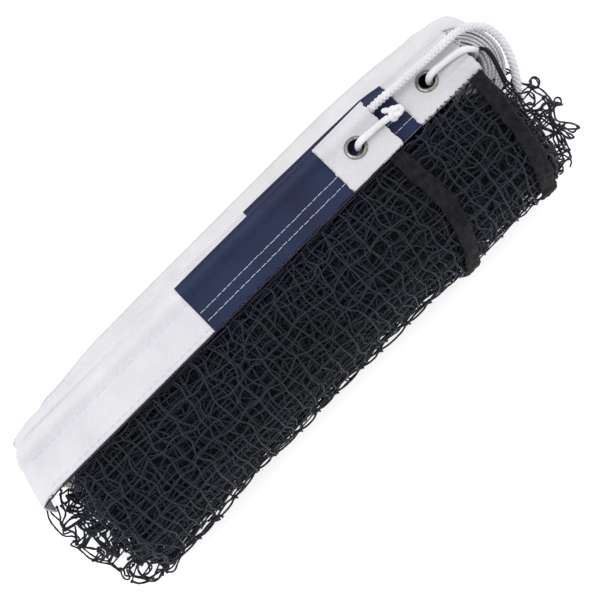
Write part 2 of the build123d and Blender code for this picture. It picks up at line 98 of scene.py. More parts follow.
class Build:
    """Gathers vertices, faces and their UVs, and makes one mesh object of them."""

    def __init__(self):
        self.v, self.faces, self.count = [], {3: [], 4: []}, 0
        self.uv = {3: [], 4: []}

    def add(self, verts, quads=None, tris=None, quad_uv=None, tri_uv=None):
        verts = np.asarray(verts, float).reshape(-1, 3)
        for n, f, uv in ((4, quads, quad_uv), (3, tris, tri_uv)):
            if f is not None and len(f):
                f = np.asarray(f, np.int64).reshape(-1, n)
                self.faces[n].append(f + self.count)
                self.uv[n].append(np.zeros((len(f), n, 2)) if uv is None else np.asarray(uv, float).reshape(-1, n, 2))
        self.v.append(verts)
        self.count += len(verts)

    def tubes(self, lines, radius, sides=6, caps=True):
        """Round tubes along lines (K, M, 3); radius a number or (K, M)."""
        p = np.asarray(lines, float)
        if p.ndim == 2:
            p = p[None]
        k, m, _ = p.shape
        r = np.broadcast_to(np.asarray(radius, float), (k, m))
        t = np.empty_like(p)
        t[:, 1:-1] = p[:, 2:] - p[:, :-2]
        t[:, 0], t[:, -1] = p[:, 1] - p[:, 0], p[:, -1] - p[:, -2]
        t /= np.maximum(np.linalg.norm(t, axis=2, keepdims=True), 1e-9)
        ref = np.where(np.abs(t[:, 0, 2:3]) < 0.8, np.array([[0.0, 0.0, 1.0]]), np.array([[1.0, 0.0, 0.0]]))
        n = np.empty_like(p)
        cur = ref
        for i in range(m):
            cur = cur - (cur * t[:, i]).sum(1, keepdims=True) * t[:, i]
            cur = cur / np.maximum(np.linalg.norm(cur, axis=1, keepdims=True), 1e-9)
            n[:, i] = cur
        b = np.cross(t, n)
        ang = 2 * math.pi * np.arange(sides) / sides
        ring = p[:, :, None, :] + r[:, :, None, None] * (
            np.cos(ang)[None, None, :, None] * n[:, :, None, :] + np.sin(ang)[None, None, :, None] * b[:, :, None, :])
        idx = np.arange(k * m * sides).reshape(k, m, sides)
        nxt = np.roll(idx, -1, axis=2)
        quads = np.stack([idx[:, :-1], nxt[:, :-1], nxt[:, 1:], idx[:, 1:]], axis=-1).reshape(-1, 4)
        run = np.concatenate([np.zeros((k, 1)), np.cumsum(np.linalg.norm(np.diff(p, axis=1), axis=2), axis=1)], axis=1)
        u0 = np.broadcast_to((np.arange(sides) / sides)[None, None], (k, m - 1, sides))
        u1 = u0 + 1 / sides
        v0 = np.broadcast_to(run[:, :-1, None], (k, m - 1, sides))
        v1 = np.broadcast_to(run[:, 1:, None], (k, m - 1, sides))
        uv = np.stack([np.stack([u0, v0], -1), np.stack([u1, v0], -1), np.stack([u1, v1], -1), np.stack([u0, v1], -1)], axis=-2)
        verts = ring.reshape(-1, 3)
        tris = None
        if caps:
            base = len(verts)
            verts = np.vstack([verts, p[:, 0], p[:, -1]])
            first, last = idx[:, 0], idx[:, -1]
            c0 = np.broadcast_to((base + np.arange(k))[:, None], first.shape)
            c1 = np.broadcast_to((base + k + np.arange(k))[:, None], first.shape)
            tris = np.vstack([np.stack([c0, np.roll(first, -1, 1), first], -1).reshape(-1, 3),
                              np.stack([c1, last, np.roll(last, -1, 1)], -1).reshape(-1, 3)])
        self.add(verts, quads, tris, uv)

    def blobs(self, centres, sizes, seed=1):
        """Small uneven rounded lumps, each turned its own way."""
        c = np.asarray(centres, float).reshape(-1, 3)
        s = np.broadcast_to(np.asarray(sizes, float), (len(c),))
        r = np.random.default_rng(seed)
        rings, segs = 4, 6
        th = math.pi * (np.arange(rings) + 1) / (rings + 1)
        ph = 2 * math.pi * np.arange(segs) / segs
        unit = np.stack([np.outer(np.sin(th), np.cos(ph)), np.outer(np.sin(th), np.sin(ph)),
                         np.outer(np.cos(th), np.ones(segs))], -1).reshape(-1, 3)
        unit = np.vstack([unit, [[0, 0, 1], [0, 0, -1]]])
        turn, _ = np.linalg.qr(r.normal(size=(len(c), 3, 3)))
        stretch = r.uniform(0.8, 1.25, (len(c), 1, 3))
        pts = np.einsum("nij,nkj->nki", turn, unit[None] * stretch * (1 + 0.12 * r.normal(size=(len(c), len(unit), 1))))
        verts = c[:, None] + pts * s[:, None, None]
        verts[..., 2] += np.maximum(0.1 - verts[..., 2].min(axis=1, keepdims=True), 0)
        n = len(unit)
        idx = np.arange(rings * segs).reshape(rings, segs)
        nx = np.roll(idx, -1, 1)
        q = np.stack([idx[:-1], idx[1:], nx[1:], nx[:-1]], -1).reshape(-1, 4)
        t = np.vstack([np.stack([np.full(segs, n - 2), idx[0], nx[0]], -1), np.stack([np.full(segs, n - 1), nx[-1], idx[-1]], -1)])
        off = (np.arange(len(c)) * n)[:, None, None]
        self.add(verts.reshape(-1, 3), (q[None] + off).reshape(-1, 4), (t[None] + off).reshape(-1, 3))

    def shell(self, outer, inner, uv, keep=None):
        """A skin between two grids (A, B, 3) of points, closed round its edges and round the cells left out."""
        a_n, b_n, _ = outer.shape
        keep = np.ones((a_n - 1, b_n - 1), bool) if keep is None else keep
        idx = np.arange(a_n * b_n).reshape(a_n, b_n)
        n = a_n * b_n
        a, b = np.nonzero(keep)
        out = np.stack([idx[a, b], idx[a + 1, b], idx[a + 1, b + 1], idx[a, b + 1]], 1)
        faces = [out, out[:, ::-1] + n]
        pad = np.pad(keep, 1)
        for da, db, p, q in ((0, -1, (1, 0), (0, 0)), (1, 0, (1, 1), (1, 0)), (0, 1, (0, 1), (1, 1)), (-1, 0, (0, 0), (0, 1))):
            edge = ~pad[a + 1 + da, b + 1 + db]
            ea, eb = a[edge], b[edge]
            i, j = idx[ea + p[0], eb + p[1]], idx[ea + q[0], eb + q[1]]
            faces.append(np.stack([i, j, j + n, i + n], 1))
        quads = np.vstack(faces)
        verts = np.vstack([outer.reshape(-1, 3), inner.reshape(-1, 3)])
        both = np.vstack([uv.reshape(-1, 2)] * 2)
        used = np.zeros(len(verts), bool)
        used[quads.ravel()] = True
        new = np.cumsum(used) - 1
        self.add(verts[used], new[quads], None, both[quads])

    def object(self, name, material, fix_normals=False):
        me = bpy.data.meshes.new(name)
        verts = np.vstack(self.v) * MM
        me.vertices.add(len(verts))
        me.vertices.foreach_set("co", verts.astype(np.float32).ravel())
        parts = [(n, np.vstack(self.faces[n]), np.vstack(self.uv[n])) for n in (4, 3) if self.faces[n]]
        loops = np.concatenate([f.ravel() for _, f, _ in parts]).astype(np.int32)
        starts, at = [], 0
        for n, f, _ in parts:
            starts.append(at + n * np.arange(len(f)))
            at += n * len(f)
        me.loops.add(len(loops))
        me.loops.foreach_set("vertex_index", loops)
        starts = np.concatenate(starts).astype(np.int32)
        me.polygons.add(len(starts))
        me.polygons.foreach_set("loop_start", starts)
        me.polygons.foreach_set("use_smooth", np.ones(len(starts), bool))
        me.update(calc_edges=True)
        layer = me.uv_layers.new(name="UVMap")
        layer.data.foreach_set("uv", (np.concatenate([u.reshape(-1, 2) for _, _, u in parts]) * MM).astype(np.float32).ravel())
        me.validate()
        if fix_normals:
            bm = bmesh.new()
            bm.from_mesh(me)
            bmesh.ops.recalc_face_normals(bm, faces=bm.faces)
            bm.to_mesh(me)
            bm.free()
        me.materials.append(material)
        o = bpy.data.objects.new(name, me)
        bpy.context.scene.collection.objects.link(o)
        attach(o, "root")
        return o


# ------------------------------------------------------------ materials
def node_material(name):
    m = bpy.data.materials.new(name)
    m.use_nodes = True
    return m, m.node_tree.nodes, m.node_tree.links, m.node_tree.nodes["Principled BSDF"]


def math_node(nodes, links, op, a, b=None):
    n = nodes.new("ShaderNodeMath")
    n.operation = op
    for i, x in enumerate((a, b)):
        if x is None:
            continue
        if isinstance(x, (int, float)):
            n.inputs[i].default_value = x
        else:
            links.new(x, n.inputs[i])
    return n.outputs[0]


def ramp(nodes, links, value, stops):
    r = nodes.new("ShaderNodeValToRGB")
    e = r.color_ramp.elements
    while len(e) < len(stops):
        e.new(0.5)
    for s, (at, colour) in zip(e, stops):
        s.position, s.color = at, (*colour, 1)
    links.new(value, r.inputs[0])
    return r.outputs[0]


def noise(nodes, links, scale, detail=3.0, rough=0.55, coord=None):
    n = nodes.new("ShaderNodeTexNoise")
    n.inputs["Scale"].default_value = scale
    n.inputs["Detail"].default_value = detail
    n.inputs["Roughness"].default_value = rough
    if coord is not None:
        links.new(coord, n.inputs["Vector"])
    return n.outputs["Fac"]


def bump(nodes, links, bsdf, height, distance, strength=1.0):
    b = nodes.new("ShaderNodeBump")
    b.inputs["Distance"].default_value = distance
    b.inputs["Strength"].default_value = strength
    links.new(height, b.inputs["Height"])
    links.new(b.outputs[0], bsdf.inputs["Normal"])


def uv_parts(nodes, links):
    uv = nodes.new("ShaderNodeUVMap")
    uv.uv_map = "UVMap"
    sep = nodes.new("ShaderNodeSeparateXYZ")
    links.new(uv.outputs[0], sep.inputs[0])
    return sep.outputs[0], sep.outputs[1]


def object_coord(nodes):
    return nodes.new("ShaderNodeTexCoord").outputs["Object"]


def twine_material(name, dark, light, rough=0.62):
    """Twisted black polyethylene twine: two plies, hairs, uneven dye."""
    m, nodes, links, p = node_material(name)
    c = object_coord(nodes)
    u, v = uv_parts(nodes, links)
    plies = math_node(nodes, links, "SINE", math_node(
        nodes, links, "ADD", math_node(nodes, links, "MULTIPLY", u, 2 * math.pi * 2000.0), math_node(nodes, links, "MULTIPLY", v, 2 * math.pi / 0.0021)))
    hairs = noise(nodes, links, 2600.0, 2.0, 0.6, c)
    height = math_node(nodes, links, "ADD", plies, math_node(nodes, links, "MULTIPLY", hairs, 0.8))
    shade = math_node(nodes, links, "ADD", math_node(nodes, links, "MULTIPLY", noise(nodes, links, 14.0, 3.0, 0.6, c), 0.75),
                      math_node(nodes, links, "MULTIPLY", noise(nodes, links, 420.0, 3.0, 0.6, c), 0.35))
    links.new(ramp(nodes, links, shade, [(0.36, dark), (0.72, light)]), p.inputs["Base Color"])
    p.inputs["Roughness"].default_value = rough
    p.inputs["Specular IOR Level"].default_value = 0.35
    p.inputs["Sheen Weight"].default_value = 0.12
    p.inputs["Sheen Roughness"].default_value = 0.4
    p.inputs["Sheen Tint"].default_value = (0.55, 0.6, 0.7, 1)
    bump(nodes, links, p, height, 0.00026, 0.9)
    return m


def weave_material(name, low, high, lines, cross, slant, depth, rough=0.8, stain=None, sheen=0.15, spec=0.25, blotch=0.0, groove_shade=0.09, spots=30.0, span=(0.22, 0.68)):
    """Woven cloth from UVs in metres: twill lines spaced lines apart and yarn crossings spaced cross apart, slanted by
    slant, with uneven dye, stray fibres and painted shade in the grooves of the weave.
    """
    m, nodes, links, p = node_material(name)
    c = object_coord(nodes)
    u, v = uv_parts(nodes, links)
    warp = noise(nodes, links, 90.0, 2.0, 0.5, c)
    wob = math_node(nodes, links, "MULTIPLY", math_node(nodes, links, "SUBTRACT", warp, 0.5), 0.0012)
    u2 = math_node(nodes, links, "ADD", u, wob)
    v2 = math_node(nodes, links, "SUBTRACT", v, wob)
    rib = math_node(nodes, links, "SINE", math_node(
        nodes, links, "MULTIPLY", math_node(nodes, links, "ADD", u2, math_node(nodes, links, "MULTIPLY", v2, slant)), 2 * math.pi / lines))
    fill = math_node(nodes, links, "SINE", math_node(nodes, links, "MULTIPLY", v2, 2 * math.pi / cross))
    weft = math_node(nodes, links, "SINE", math_node(nodes, links, "MULTIPLY", u2, 2 * math.pi / cross))
    yarn = math_node(nodes, links, "MULTIPLY", fill, weft)
    fibre = noise(nodes, links, 1500.0, 3.0, 0.65, c)
    height = math_node(nodes, links, "ADD", math_node(nodes, links, "ADD", rib, math_node(nodes, links, "MULTIPLY", yarn, 0.7)),
                       math_node(nodes, links, "MULTIPLY", fibre, 0.9))
    patchy = noise(nodes, links, spots, 4.0, 0.6, c)
    # painted shade: the colour follows the rib and yarn relief, darker in the weave's grooves; the patchy noise and the
    # fibres are uneven dye
    tone = math_node(nodes, links, "ADD", math_node(nodes, links, "MULTIPLY", math_node(nodes, links, "ADD", rib, yarn), groove_shade),
                     math_node(nodes, links, "ADD", math_node(nodes, links, "MULTIPLY", patchy, 0.65 + blotch), math_node(nodes, links, "MULTIPLY", fibre, 0.28)))
    links.new(ramp(nodes, links, tone, [(span[0], low), (span[1], high)]), p.inputs["Base Color"])
    links.new(ramp(nodes, links, fibre, [(0.3, (rough - 0.08,) * 3), (0.7, (min(1.0, rough + 0.08),) * 3)]), p.inputs["Roughness"])
    p.inputs["Specular IOR Level"].default_value = spec
    p.inputs["Sheen Weight"].default_value = sheen
    p.inputs["Sheen Roughness"].default_value = 0.45
    bump(nodes, links, p, height, depth, 0.75)
    return m


def cord_material(name, low, high, pitch, depth):
    m, nodes, links, p = node_material(name)
    c = object_coord(nodes)
    u, v = uv_parts(nodes, links)
    a = math_node(nodes, links, "SINE", math_node(nodes, links, "ADD", math_node(nodes, links, "MULTIPLY", u, 2 * math.pi * 8000.0), math_node(nodes, links, "MULTIPLY", v, 2 * math.pi / pitch)))
    b = math_node(nodes, links, "SINE", math_node(nodes, links, "SUBTRACT", math_node(nodes, links, "MULTIPLY", u, 2 * math.pi * 8000.0), math_node(nodes, links, "MULTIPLY", v, 2 * math.pi / pitch)))
    fibre = noise(nodes, links, 2200.0, 3.0, 0.6, c)
    height = math_node(nodes, links, "ADD", math_node(nodes, links, "MULTIPLY", a, b), fibre)
    # painted shade: the colour follows the braid's relief, darker in its grooves; the slow noise and the fibre noise
    # are uneven dye
    tone = math_node(nodes, links, "ADD", math_node(nodes, links, "MULTIPLY", noise(nodes, links, 60.0, 3.0, 0.6, c), 0.6), math_node(nodes, links, "MULTIPLY", height, 0.2))
    links.new(ramp(nodes, links, tone, [(0.2, low), (0.6, high)]), p.inputs["Base Color"])
    p.inputs["Roughness"].default_value = 0.62
    p.inputs["Specular IOR Level"].default_value = 0.35
    p.inputs["Sheen Weight"].default_value = 0.2
    bump(nodes, links, p, height, depth, 0.7)
    return m


def metal_material(name):
    m, nodes, links, p = node_material(name)
    c = object_coord(nodes)
    rub = noise(nodes, links, 350.0, 5.0, 0.7, c)
    fine = noise(nodes, links, 2500.0, 3.0, 0.7, c)
    links.new(ramp(nodes, links, rub, [(0.3, (0.085, 0.083, 0.080)), (0.7, (0.34, 0.335, 0.32))]), p.inputs["Base Color"])
    links.new(ramp(nodes, links, rub, [(0.3, (0.12,) * 3), (0.75, (0.30,) * 3)]), p.inputs["Roughness"])
    p.inputs["Metallic"].default_value = 1.0
    bump(nodes, links, p, fine, 0.00004, 0.5)
    return m


def core_material(name):
    """The mass of folded netting behind the layers that are modelled: knotted, and near black, partly the twine's own
    black and partly painted shade of the deep layers, with painted shade darkening the hollows between its strands.
    """
    m, nodes, links, p = node_material(name)
    c = object_coord(nodes)
    cells = nodes.new("ShaderNodeTexVoronoi")
    cells.feature = "DISTANCE_TO_EDGE"
    cells.inputs["Scale"].default_value = 190.0
    links.new(c, cells.inputs["Vector"])
    edge = cells.outputs["Distance"]
    lump = noise(nodes, links, 160.0, 4.0, 0.6, c)
    # painted shade: the cells' middles, the hollows between strands, are darker than their edges, which stand for the
    # twine
    links.new(ramp(nodes, links, edge, [(0.02, (0.014, 0.016, 0.021)), (0.14, (0.0025, 0.003, 0.004))]), p.inputs["Base Color"])
    links.new(ramp(nodes, links, lump, [(0.3, (0.7,) * 3), (0.7, (0.95,) * 3)]), p.inputs["Roughness"])
    p.inputs["Specular IOR Level"].default_value = 0.12
    height = math_node(nodes, links, "SUBTRACT", lump, math_node(nodes, links, "MULTIPLY", edge, 2.0))
    bump(nodes, links, p, height, 0.002, 0.9)
    return m


TWINE = twine_material("netting_twine_look", (0.0023, 0.0037, 0.0086), (0.0076, 0.0116, 0.0240))
CORE = core_material("netting_core_painted_shade_look")
# each cloth carries painted shade in its weave grooves, strongest on the lap tape and the end patches
TAPE = weave_material("white_tape_look", (0.53, 0.525, 0.56), (0.655, 0.65, 0.685), 0.0014, 0.0007, 1.0, 0.00012, 0.85)
LAP_TAPE = weave_material("white_lap_look", (0.50, 0.495, 0.52), (0.74, 0.735, 0.755), 0.0024, 0.0008, -0.9, 0.00026, 0.85, groove_shade=0.24)
PATCH = weave_material("end_patch_look", (0.52, 0.515, 0.55), (0.66, 0.655, 0.69), 0.0011, 0.0006, -0.8, 0.00016, 0.8, groove_shade=0.14)
LABEL = weave_material("navy_label_look", (0.0048, 0.0080, 0.030), (0.0125, 0.0190, 0.062), 0.0009, 0.0005, 0.0, 0.00008, 0.55, sheen=0.03, spec=0.20, blotch=0.15)
BINDING = weave_material("binding_look", (0.0022, 0.0020, 0.0030), (0.0195, 0.0178, 0.0215), 0.0011, 0.0008, 0.3, 0.00030, 0.8, sheen=0.02, spec=0.14, blotch=0.25, spots=190.0, span=(0.42, 0.80))
TAIL_CORD = cord_material("head_cord_look", (0.52, 0.52, 0.55), (0.70, 0.70, 0.73), 0.0011, 0.00005)
TIE_CORD = cord_material("tie_cord_look", (0.56, 0.56, 0.59), (0.73, 0.73, 0.75), 0.0009, 0.00009)
THREAD = cord_material("stitch_thread_look", (0.50, 0.51, 0.57), (0.68, 0.69, 0.74), 0.0006, 0.00006)
METAL = metal_material("eyelet_metal_look")


# ------------------------------------------------------------ camera, light and floor
scene = bpy.context.scene
cam_data = bpy.data.cameras.new("camera")
cam_data.lens = 100.0
cam_data.sensor_width = 36.0
cam_data.clip_start = 0.01
camera = bpy.data.objects.new("camera", cam_data)
camera.location = (0.0033, -0.0050, 0.07 + 0.4002 * 100.0 / 36.0)
camera.rotation_euler = (0.0, 0.0, math.radians(-45.0))
scene.collection.objects.link(camera)
scene.camera = camera

world = bpy.data.worlds.new("studio")
world.use_nodes = True
world.node_tree.nodes["Background"].inputs[0].default_value = (1.0, 1.0, 1.0, 1)
world.node_tree.nodes["Background"].inputs[1].default_value = 1.25
scene.world = world
scene.view_settings.view_transform = "Standard"


def area_light(name, at, target, size, power):
    d = bpy.data.lights.new(name, "AREA")
    d.shape, d.size, d.energy = "DISK", size, power
    o = bpy.data.objects.new(name, d)
    o.location = at
    o.rotation_euler = (Vector(target) - Vector(at)).to_track_quat("-Z", "Y").to_euler()
    scene.collection.objects.link(o)
    return o


area_light("key", (-0.35, 0.70, 1.2), (0, 0, 0.05), 0.7, 4.2)

floor_mesh = bpy.data.meshes.new("floor")
floor_mesh.from_pydata([(-3, -3, 0), (3, -3, 0), (3, 3, 0), (-3, 3, 0)], [], [(0, 1, 2, 3)])
floor = bpy.data.objects.new("floor", floor_mesh)
fm, fn, fl, fp = node_material("floor_look")
fl.new(ramp(fn, fl, noise(fn, fl, 6.0, 2.0, 0.5, object_coord(fn)), [(0.3, (0.93, 0.93, 0.93)), (0.7, (0.945, 0.945, 0.945))]), fp.inputs["Base Color"])
fp.inputs["Roughness"].default_value = 0.95
fp.inputs["Specular IOR Level"].default_value = 0.1
fp.inputs["Emission Color"].default_value = (1.0, 1.0, 1.0, 1.0)
fp.inputs["Emission Strength"].default_value = 0.26
floor_mesh.materials.append(fm)
scene.collection.objects.link(floor)


# ------------------------------------------------------------ the two runs of the head tape
class Band:
    """The frame of one run of the head tape: e along it, v across, w out of its upper face. Millimetres."""

    def __init__(self, at, yaw, slope):
        a, s = math.radians(yaw), math.radians(slope)
        self.e = np.array([math.cos(a), math.sin(a), 0.0])
        across = np.array([-math.sin(a), math.cos(a), 0.0])
        self.v = across * math.cos(s) + np.array([0, 0, -math.sin(s)])
        self.w = across * math.sin(s) + np.array([0, 0, math.cos(s)])
        self.o = np.array(at, float) - self.e * at[0]

    def pt(self, x, v, w):
        x, v, w = np.broadcast_arrays(*(np.asarray(q, float)[..., None] for q in (x, v, w)))
        return self.o + self.e * x + self.v * v + self.w * w


BAND_1 = Band((0.0, 20.0, 80.0), 0.0, 16.0)
BAND_2 = Band((142.0, 20.0, 75.5), -1.2, 23.0)
WIDTH, CORD_AT = 41.0, 33.0
EYELETS = {1: (101.0, 20.6), 2: (166.0, 20.0)}
RUNS = {
    1: dict(band=BAND_1, bend=-199.0, radius=15.0, drop=22.0, tilt=(-2.0, 7.5), shift=0.0),
    2: dict(band=BAND_2, bend=-199.0, radius=7.5, drop=9.0, tilt=(0.0, 5.0), shift=3.6),
}
WAVES = {1: (Field(11, 26, 90), Field(12, 7, 16)), 2: (Field(21, 30, 90), Field(22, 6, 13))}


def wrinkle(run, c, v):
    """How far the cloth of a run stands out of its flat, in mm."""
    big, fine = WAVES[run]
    x, y = EYELETS[run]
    calm = smooth(8.5, 17.0, np.hypot(np.asarray(c) - x, np.asarray(v) - y))
    edge = 0.35 + 0.65 * smooth(14, 0, v)
    out = 0.42 * big(c * 0.6, v) + 0.13 * fine(c, v * 0.7) * edge
    if run == 2:      # the free end is drawn in by its tie, in ridges along it
        pull = smooth(156, 186, c)
        out = out + 1.0 * pull * (np.abs(np.sin(v * 0.52 + 0.015 * c + 0.5 * big(c, v))) ** 0.6 - 0.6) * 1.5 * smooth(41, 36, v)
    pucker = 0.33 * smooth(18, 7, v) * np.sin(0.72 * c + 2.2 * big(c, 3.0)) * smooth(86, 70, c) * smooth(-58, -46, c) * (run == 1)
    return (out + pucker) * calm


def on_run(run, c, v, w):
    """A point of a run: c along it (its X until the left-hand fold, then the length past it)."""
    r = RUNS[run]
    c, v, w = np.broadcast_arrays(*(np.asarray(q, float) for q in (c, v, w)))
    bend = r["bend"] + r["tilt"][0] + (r["tilt"][1] - r["tilt"][0]) * np.clip(v / WIDTH, 0, 2) ** 1.5
    bend = bend + 1.7 * np.cos(np.clip(np.abs(v - CORD_AT) / 7.0, 0, 1) * math.pi / 2) ** 1.7 * (run == 1)
    v = v + r["shift"] * np.clip(v / WIDTH, 0, 1) ** 2 * smooth(152, 122, c) * smooth(-205, -180, c)
    over = np.clip(bend - c, 0, None)
    ang = np.clip(over / r["radius"], 0, math.pi / 2)
    down = np.clip(over - r["radius"] * math.pi / 2, 0, None)
    x = np.where(over <= 0, c, bend - (r["radius"] + w) * np.sin(ang))
    ww = np.where(over <= 0, w, -r["radius"] + (r["radius"] + w) * np.cos(ang) - down)
    return r["band"].pt(x, v, ww)


def tape_outline(low=0.0):
    """The outside of the folded tape in v, w: lower leaf, round the fold, upper leaf; with its outward normals."""
    v = np.concatenate([np.linspace(low, 27.0, int(round((27.0 - low) / 1.25)) + 1), np.linspace(27.8, 39.9, 16)])
    swell = np.clip(np.abs(v - CORD_AT) / 6.4, 0, 1)
    w = 0.65 + 2.75 * np.cos(swell * math.pi / 2) ** 1.7 * (swell < 1)
    ang = np.linspace(-math.pi / 2, math.pi / 2, 7)[1:-1]
    p = np.vstack([np.stack([v, -w], 1), np.stack([40.35 + 0.65 * np.cos(ang), 0.65 * np.sin(ang)], 1), np.stack([v, w], 1)[::-1]])
    d = np.gradient(p, axis=0)
    n = np.stack([d[:, 1], -d[:, 0]], 1)
    return p, n / np.linalg.norm(n, axis=1, keepdims=True)


def stations(lo, hi, step, dense=None, fine=1.2):
    out = [lo]
    while out[-1] < hi:
        near = dense is not None and abs(out[-1] - dense) < 11
        out.append(out[-1] + (fine if near else step))
    out[-1] = hi
    return np.array(out)


def wrapped(name, run, lo, hi, step, inside, outside, material, low=0.0, ragged=None):
    """A skin folded over the tape of a run, from c = lo to hi, between two distances off the tape's outside."""
    p, n = tape_outline(low)
    c = stations(lo, hi, step, EYELETS[run][0])
    cc, vv = np.meshgrid(c, p[:, 0], indexing="ij")
    if ragged is not None:      # the skin's cut ends and its lower edges aren't quite straight
        cc = cc + ragged(cc, vv) * (np.exp(-np.abs(cc - lo) / 3.0) + np.exp(-np.abs(cc - hi) / 3.0))
    lift = wrinkle(run, cc, vv)
    grids = []
    for off in (outside, inside):
        q = p + n * off
        v = np.broadcast_to(q[:, 0], cc.shape)
        w = np.broadcast_to(q[:, 1], cc.shape) + lift
        if ragged is not None:
            v = v + 0.35 * ragged(cc * 1.7 + 40, vv * 0.2) * np.exp(-np.abs(vv - low) / 2.0)
        grids.append(on_run(run, cc, v, w))
    along = np.concatenate([[0], np.cumsum(np.linalg.norm(np.diff(p, axis=0), axis=1))])
    uv = np.stack([cc, np.broadcast_to(along, cc.shape)], -1)
    mid_c = (cc[:-1, :-1] + cc[1:, 1:]) / 2
    mid_v = (vv[:-1, :-1] + vv[1:, 1:]) / 2
    x, y = EYELETS[run]
    keep = np.hypot(mid_c - x, mid_v - y) > 6.75
    b = Build()
    b.shell(grids[0], grids[1], uv, keep)
    return b.object(name, material, fix_normals=True), float(along[-1]), hi - lo


tape_1, wide, _ = wrapped("head_tape_run_1", 1, -246.0, 124.6, 3.2, -0.55, 0.0, TAPE)
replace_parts(tape_1, "head_tape_end_1")
tape_2, wide, _ = wrapped("head_tape_run_2", 2, -219.0, 197.6, 3.2, -0.55, 0.0, TAPE)
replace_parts(tape_2, "head_tape_end_2")

RAG = Field(31, 3, 11)
label_1, _, _ = wrapped("woven_label_1", 1, -51.0, 79.0, 2.5, 0.08, 0.52, LABEL, low=-0.2)
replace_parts(label_1, "label_1")
label_2, _, _ = wrapped("woven_label_2", 2, 17.0, 142.0, 2.5, 0.08, 0.52, LABEL, low=-0.2)
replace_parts(label_2, "label_2")
patch_1, _, _ = wrapped("end_sleeve_1", 1, 79.4, 125.0, 1.4, 0.1, 0.70, PATCH, low=-0.4, ragged=RAG)
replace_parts(patch_1, "end_patch_1")
patch_2, _, _ = wrapped("end_sleeve_2", 2, 142.4, 198.0, 1.4, 0.1, 0.70, PATCH, low=-0.4, ragged=RAG)
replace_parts(patch_2, "end_patch_2")

for run, end, node in ((1, 124.9, "head_cord_run_1"), (2, 196.5, "head_cord_run_2")):
    c = np.arange(-243.0 if run == 1 else -217.0, end + 0.1, 2.0)
    c[-1] = end
    b = Build()
    b.tubes(on_run(run, c, np.full(c.shape, CORD_AT), wrinkle(run, c, CORD_AT)), 2.62, 12)
    inner = b.object(f"cord_in_tape_{run}", TAIL_CORD)
    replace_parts(inner, node)

for node in ("eyelet_1", "eyelet_2", "eyelet_washer_1", "eyelet_washer_2"):
    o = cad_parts[node]
    o.data.materials.clear()
    o.data.materials.append(METAL)


# ------------------------------------------------------------ stitching
def stitch(b, run, c0, c1, v, off, height=0.28, r=0.27, drift=0.0):
    """One thread: it comes up through the cloth, lies on it and goes down again."""
    t = np.linspace(0, 1, 9)
    c, vv = c0 + (c1 - c0) * t, v + drift * t
    w = 0.65 + off + wrinkle(run, c, vv) + height * np.clip(4.2 * t * (1 - t), 0, 0.55) * 1.4 - 0.12
    b.tubes(on_run(run, c, vv, w), r, 6)


r_st = np.random.default_rng(5)
b = Build()
for v in (8.2, 15.6):
    for x in np.arange(-49.5, 77.5, 5.0):
        stitch(b, 1, x + r_st.uniform(-0.2, 0.2), x + 4.25 + r_st.uniform(-0.2, 0.2), v + r_st.normal(0, 0.08), 0.52, r=0.22, drift=r_st.normal(0, 0.1))
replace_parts(b.object("label_thread_1", THREAD), "label_1_stitches")
b = Build()
for v in (8.2, 15.6):
    for x in np.arange(18.5, 140.5, 5.0):
        stitch(b, 2, x + r_st.uniform(-0.2, 0.2), x + 4.25 + r_st.uniform(-0.2, 0.2), v + r_st.normal(0, 0.08), 0.52, r=0.22, drift=r_st.normal(0, 0.1))
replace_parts(b.object("label_thread_2", THREAD), "label_2_stitches")
b = Build()
for v in (3.5,):
    for x in np.arange(-200.0, -53.0, 6.0):
        stitch(b, 1, x, x + 3.8, v + r_st.normal(0, 0.1), 0.0, r=0.3)
for x in np.arange(-200.0, -53.0, 6.0):
    stitch(b, 1, x + 2, x + 5.6, 26.4 + r_st.normal(0, 0.1), 0.0, r=0.26)
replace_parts(b.object("seam_thread", THREAD), "tape_seam_stitches")
# black lashing that ties the netting to the tape's lower edge
b = Build()
for x in np.arange(143.0, 196.5, 4.3):
    x = x + r_st.uniform(-0.9, 0.9)
    lean, reach = r_st.uniform(-1.6, 1.6), r_st.uniform(-0.5, 0.35)
    p = spline([(x, -3.0, -1.6), (x + 0.1, -1.6, 0.8), (x + 0.4 * lean, -0.6, 1.55), (x + 0.8 * lean, reach * 0.6, 1.6), (x + lean, reach, 1.0)], 0.6)
    b.tubes(on_run(2, p[:, 0], p[:, 1], p[:, 2]), 0.4, 6)
for x in np.arange(-204.0, 124.0, 8.8):      # along end 1 it only shows from below
    x = x + r_st.uniform(-1.2, 1.2)
    p = spline([(x, -2.4, -0.6), (x + 0.4, -0.9, -0.2), (x + 0.9, 0.2, -1.2), (x + 1.2, 2.4, -1.35)], 0.6)
    b.tubes(on_run(1, p[:, 0], p[:, 1], p[:, 2]), 0.42, 6)
lashing = b.object("lashing_thread", TWINE)


# ------------------------------------------------------------ the standing laps of the head tape
LAPS, PITCH = 6, 2.2
TOP_Z, LOW_Z, LEAN = 57.0, 19.6, 15.9
TOP = [58.0 - 0.7 - PITCH * k for k in range(LAPS + 1)]
LOW = [-2.0 + 0.7 + PITCH * k for k in range(LAPS)]


